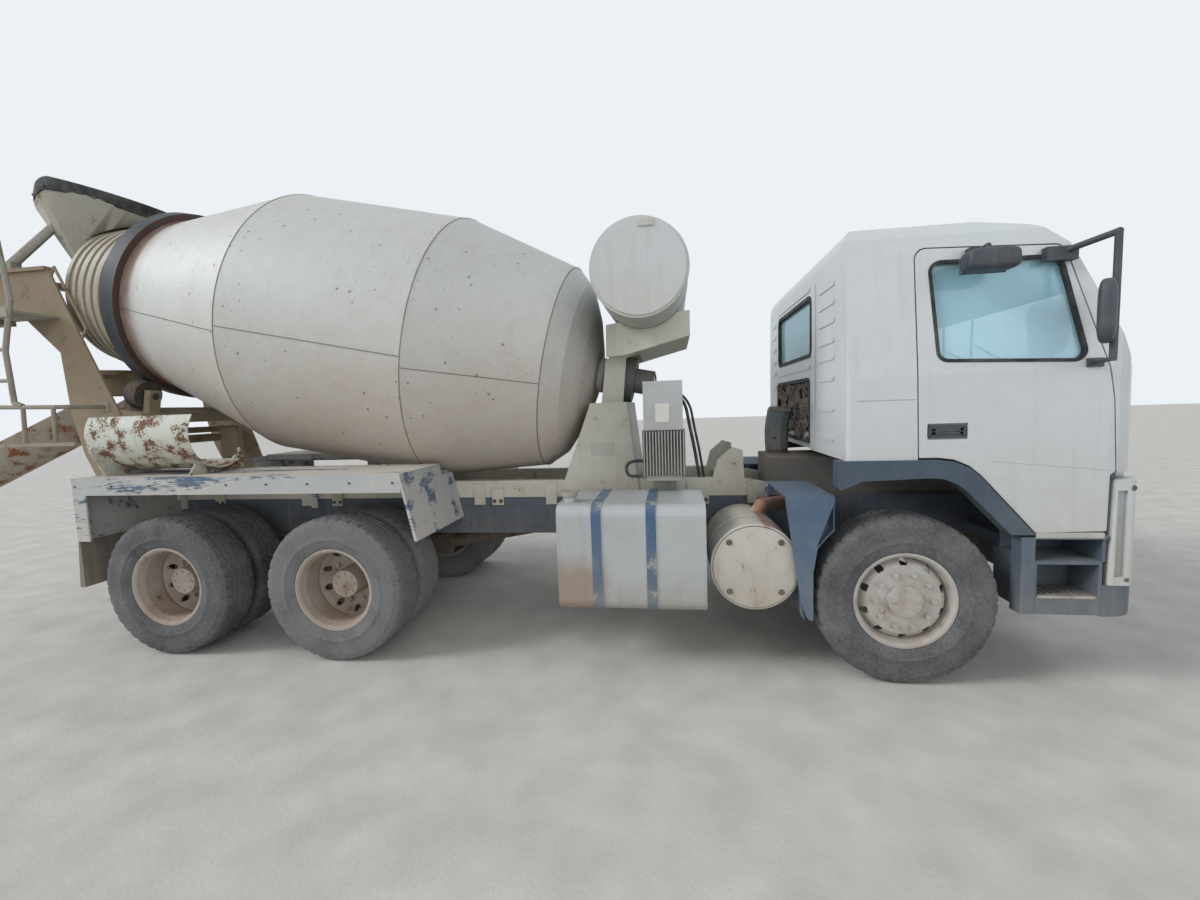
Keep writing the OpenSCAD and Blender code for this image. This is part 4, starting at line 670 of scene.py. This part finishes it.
# Lids and plates: the silencer's bolted lid with its rolled edge, the water tank's steel bands and
# latch, a dark plate of painted shade between the cooler's fins, and the bare rating plates on the cooler and
# the front pedestal.
lid_place = facing((rear_axle + 4.299, -1.188, 0.723), (0, -1, 0))
lid_edge = turned([(0.2745, -0.03), (0.2785, -0.026), (0.2785, 0.004), (0.2745, 0.007), (0.262, 0.007),
                   (0.262, -0.002)], lid_place, 72)
far_edge = turned([(0.2745, -0.30), (0.279, -0.296), (0.279, -0.274), (0.2745, -0.27)], lid_place, 72)
shown("silencer_bands", merged(lid_edge, far_edge), silencer_paint)
lid_bolts = lid_place @ Matrix.Translation((0, 0, 0.016)) @ Matrix.Rotation(math.radians(45), 4, "Z")
bolted("silencer_bolts", [lid_bolts], 0.015, 0.014, 4, 0.226)
seam = turned([(0.2615, -0.001), (0.2665, -0.001), (0.2665, 0.0085), (0.2615, 0.0085)], lid_place, 72)
shown("silencer_seam", seam, dark_steel)
band_paint = weathered("band_steel", (150, 146, 136), (124, 118, 106), tan_dust, (2.2, 2.9), 0.6, 0.4)
tank_bands = []
for across, wide in ((-0.985, 0.006), (-0.52, 0.022), (0.52, 0.022), (0.985, 0.006)):
    place = facing((rear_axle + 3.598, across, 2.681), (0, 1, 0))
    tank_bands.append(turned([(0.329, -wide), (0.3325, -wide), (0.3325, wide), (0.329, wide)], place, 72))
shown("water_tank_bands", merged(*tank_bands), band_paint)


def slab(low_corner, high_corner, bevel=0.001):
    """A plate with broken edges between two corners."""
    made = bmesh.new()
    bmesh.ops.create_cube(made, size=1)
    start, size = Vector(low_corner), Vector(high_corner) - Vector(low_corner)
    for vert in made.verts:
        vert.co = start + Vector([(vert.co[k] + 0.5) * size[k] for k in range(3)])
    bmesh.ops.bevel(made, geom=made.edges[:], offset=bevel, segments=1, affect="EDGES")
    return closed(made)


def plated(name, low_corner, high_corner, material, bevel=0.001):
    """A single plate, measured along the truck from the rear axle."""
    ends = [(rear_axle + x, y, z) for x, y, z in (low_corner, high_corner)]
    shown(name, slab(*ends, bevel), material, smooth=False)


plate_metal = weathered("plate_metal", (204, 203, 196), (184, 182, 174), tan_dust, (1.0, 1.6), 0.5, 0.3)
painted_fin_shade = weathered("painted_fin_shade", (50, 52, 54), (66, 66, 66), tan_dust, (1.1, 1.5), 0.8, 0.3)
grey_plate = weathered("grey_plate", (190, 191, 186), (172, 172, 164), tan_dust, (1.0, 1.6), 0.6, 0.3)
# A dark plate behind the cooler's fins: painted shade in the gaps between them.
plated("cooler_gap_shade_plate", (3.579, -0.7515, 1.256), (3.883, -0.7485, 1.584), painted_fin_shade, 0.0005)
plated("cooler_plate", (3.676, -0.768, 1.644), (3.776, -0.764, 1.778), plate_metal)
rating_plates = [slab((rear_axle + 3.149, y - 0.002, 1.385), (rear_axle + 3.337, y + 0.002, 1.483))
                 for y in (-0.4405, 0.4405)]
shown("pedestal_plates", merged(*rating_plates), grey_plate, smooth=False)
plated("tank_latch", (3.60, -1.022, 2.935), (3.70, -1.010, 2.985), grey_plate, 0.003)

# Frame plates: short steel plates along both sides, with two bolts each, that tie the mixer's
# beams to the rails.
plates, plate_bolts = [], []
half_plate = Vector((0.05, 0.007, 0.07))
for side in (-1, 1):
    for x in (-1.19, -0.25, 0.9, 2.35, 2.95, 3.385, 4.017, 4.47):
        middle = Vector((rear_axle + x, side * 0.4335, 1.055))
        plates.append(slab(middle - half_plate, middle + half_plate, 0.004))
        for along in (-0.028, 0.028):
            plate_bolts.append(facing(middle + Vector((along, side * 0.013, -0.035)), (0, side, 0)))
shown("frame_plates", merged(*plates), khaki_paint, smooth=False)
bolted("frame_plate_bolts", plate_bolts, 0.012, 0.012)


# Pipework round the cooler: a lifting eye, the oil's return bend at its side, and the steel pipes
# that come down from the drum's motor to the deck behind it.
def pipe(points, radius, smooth=True):
    """A bent pipe of round section through a list of points."""
    curve = bpy.data.curves.new("pipe", "CURVE")
    curve.dimensions, curve.bevel_depth, curve.bevel_resolution = "3D", radius, 3
    curve.use_fill_caps = True
    spline = curve.splines.new("NURBS" if smooth else "POLY")
    spline.points.add(len(points) - 1)
    for point, place in zip(spline.points, points):
        point.co = (*place, 1)
    if smooth:
        spline.order_u, spline.use_endpoint_u, spline.resolution_u = 3, True, 5
    holder = bpy.data.objects.new("pipe", curve)
    scene.collection.objects.link(holder)
    mesh = settled(holder)
    bpy.data.objects.remove(holder)
    return mesh


def ahead_of_axle(points):
    return [(rear_axle + x, y, z) for x, y, z in points]


lifting_eye = pipe(ahead_of_axle([(3.652, -0.70, 1.93), (3.646, -0.70, 1.98), (3.667, -0.70, 2.01),
                                  (3.688, -0.70, 1.98), (3.682, -0.70, 1.93)]), 0.006)
return_bend = pipe(ahead_of_axle([(3.60, -0.745, 1.366), (3.50, -0.765, 1.372), (3.458, -0.772, 1.34),
                                  (3.458, -0.772, 1.28), (3.50, -0.765, 1.248), (3.60, -0.73, 1.262)]), 0.012)
drive_pipes = []
for shift, thick in ((0.0, 0.013), (0.035, 0.010)):
    route = [(3.56, -0.12, 1.84 + shift), (3.76, -0.20, 1.90 + shift), (3.90 + shift, -0.28, 1.80),
             (3.93 + shift, -0.32, 1.60), (3.97 + shift, -0.35, 1.40), (4.00 + shift, -0.36, 1.186)]
    drive_pipes.append(pipe(ahead_of_axle(route), thick))
shown("cooler_pipes", merged(lifting_eye, return_bend, *drive_pipes), rubber)

# Deck and mudguards over the wheels: folded steel with a once blue edge at the back, and
# moulded blue-grey plastic in front.
deck_paint = weathered("deck_paint", (160, 168, 172), (184, 183, 178), (200, 187, 172), (0.7, 1.45),
                       0.65, 1.1, (88, 106, 124), 0.34, way=(0.16, 1, 1))
plastic = weathered("blue_grey_plastic", (58, 84, 112), (80, 104, 128), (118, 120, 120), (0.3, 1.4), 0.6, 0.5,
                    lumps=0.0006)
dark_plastic = weathered("dark_plastic", (52, 58, 66), (72, 78, 84), (122, 116, 108), (0.3, 1.3), 0.55, 0.4,
                         lumps=0.0006)
flare_plastic = weathered("flare_plastic", (50, 66, 84), (68, 82, 96), (112, 112, 110), (0.3, 1.4), 0.6, 0.5,
                          lumps=0.0006)
bumper_paint = weathered("bumper_paint", (72, 86, 102), (92, 102, 112), (138, 130, 120), (0.2, 0.8), 0.6, 0.6)
flap_rubber = weathered("flap_rubber", (92, 90, 86), (116, 112, 106), tan_dust, (0.3, 1.3), 0.85, 0.4)
coat(deck_paint, "rear_fenders")
coat(plastic, "front_mudguards")
coat(flare_plastic, "arch_flares")
coat(bumper_paint, "bumper")
coat(flap_rubber, "mudflaps")
deck_ends = [forwards(facing((rear_axle - 0.66, side * 1.2505, 1.3), (0, side, 0))) for side in (-1, 1)]
bolted("deck_bolts", deck_ends, 0.009, 0.006, 9, step=0.32)

# Steps and corner panels: bright worn tread edges on the two steps, and on the white corner panels a
# channel in a grey of painted shade, a buffer and bolts.
bright = weathered("worn_aluminium", (196, 196, 192), (168, 166, 160), (132, 112, 94), (0.3, 1.0), 0.4, 0.2,
                   metal=0.4, lumps=0.0006)
# The channel's grey, a little darker than the cab's white, is painted shade in its hollow.
channel_painted_shade = weathered("channel_painted_shade", (170, 178, 184), (150, 158, 162), tan_dust, (0.5, 1.2), 0.6, 0.4)
buffer_section = [(0.004, 0.0), (0.02, 0.0), (0.024, 0.01), (0.022, 0.03), (0.012, 0.038), (0.004, 0.039)]
treads, channels, corner_bolts, buffers = [], [], [], []
for side in (-1, 1):
    def beside(x0, x1, y0, y1, z0, z1, bevel=0.003):
        """A plate on one side of the cab, measured along the truck from the front axle."""
        near, far = sorted((side * y0, side * y1))
        return slab((front + x0, near, z0), (front + x1, far, z1), bevel)
    treads.append(beside(0.692, 1.046, 1.20, 1.2395, 0.925, 0.958))
    treads.append(beside(0.71, 1.02, 1.19, 1.2375, 0.566, 0.584))
    for x in (0.70 + 0.034 * rib for rib in range(10)):
        treads.append(beside(x, x + 0.015, 1.03, 1.19, 0.570, 0.578, 0.002))
    channels.append(beside(1.108, 1.148, 1.2155, 1.2195, 0.704, 1.196, 0.001))
    for x, z in ((1.18, 1.215), (1.165, 0.685)):
        corner_bolts.append(facing((front + x, side * 1.2375, z), (0, side, 0)))
    buffers.append(turned(buffer_section, Matrix.Translation((front + 1.084, side * 1.20, 1.262)), 24))
shown("step_treads", merged(*treads), bright, smooth=False)
shown("panel_channels", merged(*channels), channel_painted_shade)
shown("panel_buffers", merged(*buffers), dark_plastic)
bolted("panel_bolts", corner_bolts, 0.012, 0.008)

# Cab: pressed steel panels in white, washed by rain above and dusty below; dark trim inside, and
# lamps with ribbed lenses, red at the tail and clear in front.
cab_white = weathered("cab_white", (196, 201, 204), (189, 193, 195), (180, 174, 162), (0.6, 1.7), 0.35, 0.15,
                      lumps=0.0004)
trim = weathered("inside_trim", (66, 66, 68), (80, 80, 80), (120, 114, 104), (1.2, 1.9), 0.7, 0.3)
coat(cab_white, "cab_back", "cab_sides", "cab_roof", "cab_front", "door_left", "door_right", "corner_panels")
coat(trim, "cab_floor", "dashboard")
pane = Finish("window_glass")
pane = pane.close(Base_Color=(0.50, 0.86, 1.0, 1), Roughness=0.03, Alpha=0.40, Specular_IOR_Level=0.6)
coat(pane, "cab_glass", "door_glass_left", "door_glass_right")
lens_glass = Finish("lamp_lens")
lens_ribs = lens_glass.node("ShaderNodeTexWave", {"bands_direction": "Y"},
                            {"Vector": lens_glass.place, "Scale": 26.0}, 1)
at_front = lens_glass.axis("X").span(0.0, 0.1)
lens_colour = lens_glass.mixed(at_front, linear(140, 30, 24), linear(190, 198, 202))
lens_glass = lens_glass.close(lens_ribs, 0.002, Base_Color=lens_colour, Roughness=0.12,
                              Specular_IOR_Level=0.7)
coat(lens_glass, "lamps")
window = rounded([(front + 0.155, 1.967, 0.06), (front + 0.939, 1.937, 0.06), (front + 0.796, 2.534, 0.09),
                  (front + 0.103, 2.542, 0.06)])
grip = oblong(front + 0.108, front + 0.314, 1.52, 1.598, 0.02)
skin_y, belt_z, lean_in = 1.226, 1.89, 0.04 / 0.71
for hand, side in hands:
    def on_side(p, out):
        """A point of a side outline on the cab's skin, which leans in above the belt line."""
        return Vector((p.x, side * (skin_y - max(0.0, p.y - belt_z) * lean_in + out), p.y))
    door = f"door_{hand}"
    seal = framed(window, on_side, -0.014, 0.006, 0.003, -0.022)
    shown(f"window_seal_{hand}", seal, rubber, door)
    dish = framed(grip, on_side, -0.03, 0, -0.004, -0.018)
    pull = framed(grip, on_side, -0.036, -0.024, 0.004, -0.022)
    shown(f"door_handle_{hand}", merged(dish, pull), dark_plastic, door)
    crease = [on_side(Vector((front + x, z + lift)), out) for x, z in ((0.46, 1.379), (1.066, 1.318))
              for lift, out in ((-0.004, -0.002), (0.0, 0.0028), (0.004, -0.002))]
    fold = meshed(crease, [(0, 1, 4, 3), (1, 2, 5, 4), (2, 0, 3, 5), (0, 2, 1), (3, 4, 5)])
    shown(f"door_crease_{hand}", fold, cab_white, door, False)

# Seals, wipers and lamps: black rubber round the leaning windscreen, the rear window and the recess
# behind the air intake, two arms on the screen, and dark bezels in the bumper's lamps.
sill, brow = Vector((front + 1.205, 0, belt_z)), Vector((front + 0.842, 0, 2.600))
screen_lean = math.atan((brow.x - sill.x) / (brow.z - sill.z))
screen_turn = Matrix.Translation(sill) @ Matrix.Rotation(screen_lean, 4, "Y")
cab_rear = front - 0.348


def on_screen(p, depth):
    return screen_turn @ Vector((-depth, p.y, p.x))


def on_back(p, depth):
    return Vector((cab_rear + depth, p.x, p.y))


screen = rounded([(0.06, -1.12, 0.08), (0.70, -1.06, 0.09), (0.70, 1.06, 0.09), (0.06, 1.12, 0.08)])
rear_pane = oblong(-0.42, 0.74, 2.10, 2.53, 0.06)
recess = oblong(-0.385, 0.827, 1.44, 1.935, 0.02, 0.06)
cab_seals = [framed(screen, on_screen, -0.016, 0.016, -0.005, 0.012),
             framed(rear_pane, on_back, -0.014, 0.014, -0.008, 0.02),
             framed(recess, on_back, -0.022, 0.002, -0.004, 0.03)]
shown("cab_seals", merged(*cab_seals), rubber, "cab")
wipers, bezels = [], []
for side in (-1, 1):
    pivot = side * 0.22
    foot, tip = on_screen(Vector((0.0, pivot)), -0.03), on_screen(Vector((0.30, pivot + 0.40)), -0.02)
    wipers.append(pipe([foot, foot.lerp(tip, 0.5) + Vector((0.015, 0, 0)), tip], 0.007))
    blade = [on_screen(Vector((u, pivot + v)), -0.012) for u, v in ((0.10, 0.62), (0.56, 0.20))]
    wipers.append(pipe(blade, 0.008, False))
    lamp_edge = oblong(side * 0.875 - 0.155, side * 0.875 + 0.155, 0.70, 0.90, 0.02)
    bezels.append(framed(lamp_edge, lambda p, depth: (front + 1.285 - depth, *p),
                         -0.016, 0.006, 0.006, 0.045))
shown("wipers", merged(*wipers), dark_plastic, "cab")
shown("lamp_bezels", merged(*bezels), dark_plastic)


# Mirrors: rounded heads, turned towards the seats, on the same arms and feet as the solid ones,
# and a small one that looks down at the kerb from above the right door.
def pebble(centre, size, turn, power=0.5):
    """A box with full round edges."""
    made = bmesh.new()
    bmesh.ops.create_uvsphere(made, u_segments=32, v_segments=20, radius=1)
    for vert in made.verts:
        x, y, z = vert.co
        flat = math.hypot(x, y)
        across = (x / flat if flat > 1e-6 else 1, y / max(flat, 1e-6), z)
        x, y, z = (math.copysign(abs(t) ** power, t) for t in across)
        local = Vector((flat ** power * x * size[0], flat ** power * y * size[1], z * size[2])) / 2
        vert.co = Vector(centre) + Matrix.Rotation(turn, 3, "Z") @ local
    return closed(made)


kerb_middle = Vector((front + 0.35, -1.34, 2.496))
head_x, head_y, head_low, head_high = front + 0.9005, 1.44, 1.971, 2.364
for hand, side in hands:
    post = Vector((front + 0.905, side * 1.42, 0))
    arm = opened(f"mirror_{hand}")
    for vert in arm.verts:
        p = vert.co
        away = Vector((p.x - post.x, p.y - post.y, 0))
        beside_post = abs(p.x - head_x) < 0.0455 and abs(abs(p.y) - head_y) < 0.101
        if beside_post and head_low < p.z < head_high and away.length > 0.018:
            vert.co = post + away * 0.012 / away.length + Vector((0, 0, p.z))
        if p.y < -1.27 and p.z < 2.553 and abs(p.x - kerb_middle.x) < 0.14:
            vert.co = kerb_middle + (p - kerb_middle) * 0.75
    shapes = [closed(arm), pipe([post + Vector((0, 0, z)) for z in (1.93, 2.37)], 0.017, False),
              pebble((front + 0.880, side * 1.404, 2.18), (0.078, 0.192, 0.33), side * math.radians(36.8))]
    if hand == "right":
        shapes.append(pebble(kerb_middle, (0.266, 0.14, 0.118), 0, 0.45))
    mirror = shown(f"mirror_{hand}_shaped", merged(*shapes), dark_plastic, f"door_{hand}")
    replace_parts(mirror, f"mirror_{hand}")

# Torn lining: the recess behind the air intake has lost its cover, and its felt and foil hang in
# shreds; the intake's blue-grey rubber sleeve still stands on the elbow.
felt = Finish("torn_felt")
felt_tears, felt_fine = felt.noise(0.12, 6), felt.noise(0.018, 5)
felt_colour = felt.mixed(felt_tears.span(0.45, 0.6), linear(74, 68, 64), linear(128, 112, 98))
felt_colour = felt.mixed(felt_fine.span(0.52, 0.66), felt_colour, linear(172, 162, 150))
felt = felt.close(felt_fine, 0.006, Base_Color=felt_colour, Roughness=0.95)
columns, rows = 44, 22
lining, cells = [], []
for i in range(columns + 1):
    for j in range(rows + 1):
        y, z = -0.36 + 1.16 * i / columns, 1.45 + 0.46 * j / rows
        crumple = noise.fractal(Vector((y * 7, z * 7, 3.1)), 0.7, 2.2, 5)
        hang, lift = y + 0.012 * math.sin(z * 31), z + 0.010 * math.sin(y * 23)
        lining.append((cab_rear + 0.012 - 0.022 * crumple, hang, lift))
for i in range(columns):
    for j in range(rows):
        ragged = noise.noise(Vector((i * 0.21, j * 0.3, 7.7)))
        if ragged > -0.28 + 0.25 * (j < 3):
            a = i * (rows + 1) + j
            cells.append((a, a + 1, a + rows + 2, a + rows + 1))
torn = shown("recess_lining", meshed(lining, cells), felt, "cab")
thick = torn.modifiers.new("thick", "SOLIDIFY")
thick.thickness, thick.offset = 0.008, 0
sleeve_rubber = weathered("sleeve_rubber", (96, 116, 130), (124, 138, 146), tan_dust, (1.3, 1.7), 0.7, 0.4,
                          (60, 62, 64), 0.15)
sleeve = pipe(ahead_of_axle([(4.699, 0.189, 1.36), (4.6905, 0.181, 1.50), (4.700, 0.164, 1.60),
                             (4.713, 0.143, 1.688)]), 0.0975)
shown("intake_sleeve", sleeve, sleeve_rubber)

# Seats: two sprung seats in dark cloth, each a squab and a tall back whose covers are filled until
# they swell, on turned stands.
cloth = Finish("seat_cloth")
cloth_colour = cloth.mixed(cloth.noise(0.004, 2).span(0.4, 0.6), linear(48, 48, 52), linear(70, 70, 74))
cloth = cloth.close(cloth.noise(0.003, 2), 0.0008, Base_Color=cloth_colour, Roughness=0.95)


def cushion(centre, size, lean):
    """A pad's cover before it is filled: a box pinched in between its corners."""
    made = bmesh.new()
    bmesh.ops.create_cube(made, size=2)
    bmesh.ops.subdivide_edges(made, edges=made.edges[:], cuts=9, use_grid_fill=True)
    turn = Matrix.Rotation(lean, 3, "Y")
    for vert in made.verts:
        p = vert.co.copy()
        pinched = [p[k] * size[k] / 2 * (1 - 0.10 * (p[k - 1] ** 4 + p[k - 2] ** 4)) for k in range(3)]
        vert.co = Vector(centre) + turn @ Vector(pinched)
    return closed(made)


def swollen(shape, cap=0.022, frames=20):
    """The pad's mesh after air has filled its cover, with no point further out than the cap."""
    holder = bpy.data.objects.new("swelling", shape)
    scene.collection.objects.link(holder)
    fine = holder.modifiers.new("fine", "REMESH")
    fine.mode, fine.voxel_size = "VOXEL", 0.006
    mesh = settled(holder)
    holder.modifiers.clear()
    holder.data = mesh
    cover = holder.modifiers.new("cover", "CLOTH")
    cover.settings.use_pressure, cover.settings.uniform_pressure_force = True, 4.0
    cover.settings.effector_weights.gravity = 0
    cover.point_cache.frame_start, cover.point_cache.frame_end = 1, frames
    for moment in range(1, frames + 1):
        scene.frame_set(moment)
    blown = holder.evaluated_get(bpy.context.evaluated_depsgraph_get()).to_mesh()
    for vert, after in zip(mesh.vertices, blown.vertices):
        move = after.co - vert.co
        vert.co += move * min(1.0, cap / max(move.length, 1e-9))
    holder.modifiers.clear()
    scene.frame_set(1)
    bpy.data.objects.remove(holder)
    return mesh


seat_y = 0.69
pads = {"squab": swollen(cushion((front + 0.085, seat_y, 1.70), (0.46, 0.47, 0.10), 0)),
        "back": swollen(cushion((front - 0.135, seat_y, 2.09), (0.10, 0.43, 0.63), math.radians(-7.8)))}
for kind, mesh in pads.items():
    for hand, side in hands:
        filled = mesh.copy()
        filled.transform(Matrix.Translation((0, (side - 1) * seat_y, 0)))
        shown(f"seat_{kind}_{hand}", filled, cloth, "cab")
stand = turned([(0.02, 1.453), (0.14, 1.453), (0.14, 1.48), (0.09, 1.50), (0.09, 1.60), (0.15, 1.638),
                (0.02, 1.638)], Matrix.Identity(4), 32)
stand_places = [Matrix.Translation((front + 0.05, side * seat_y, 0)) for side in (-1, 1)]
stands = merged(stand, places=stand_places)
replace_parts(shown("seat_stands", stands, dark_plastic, "cab"), "seats")
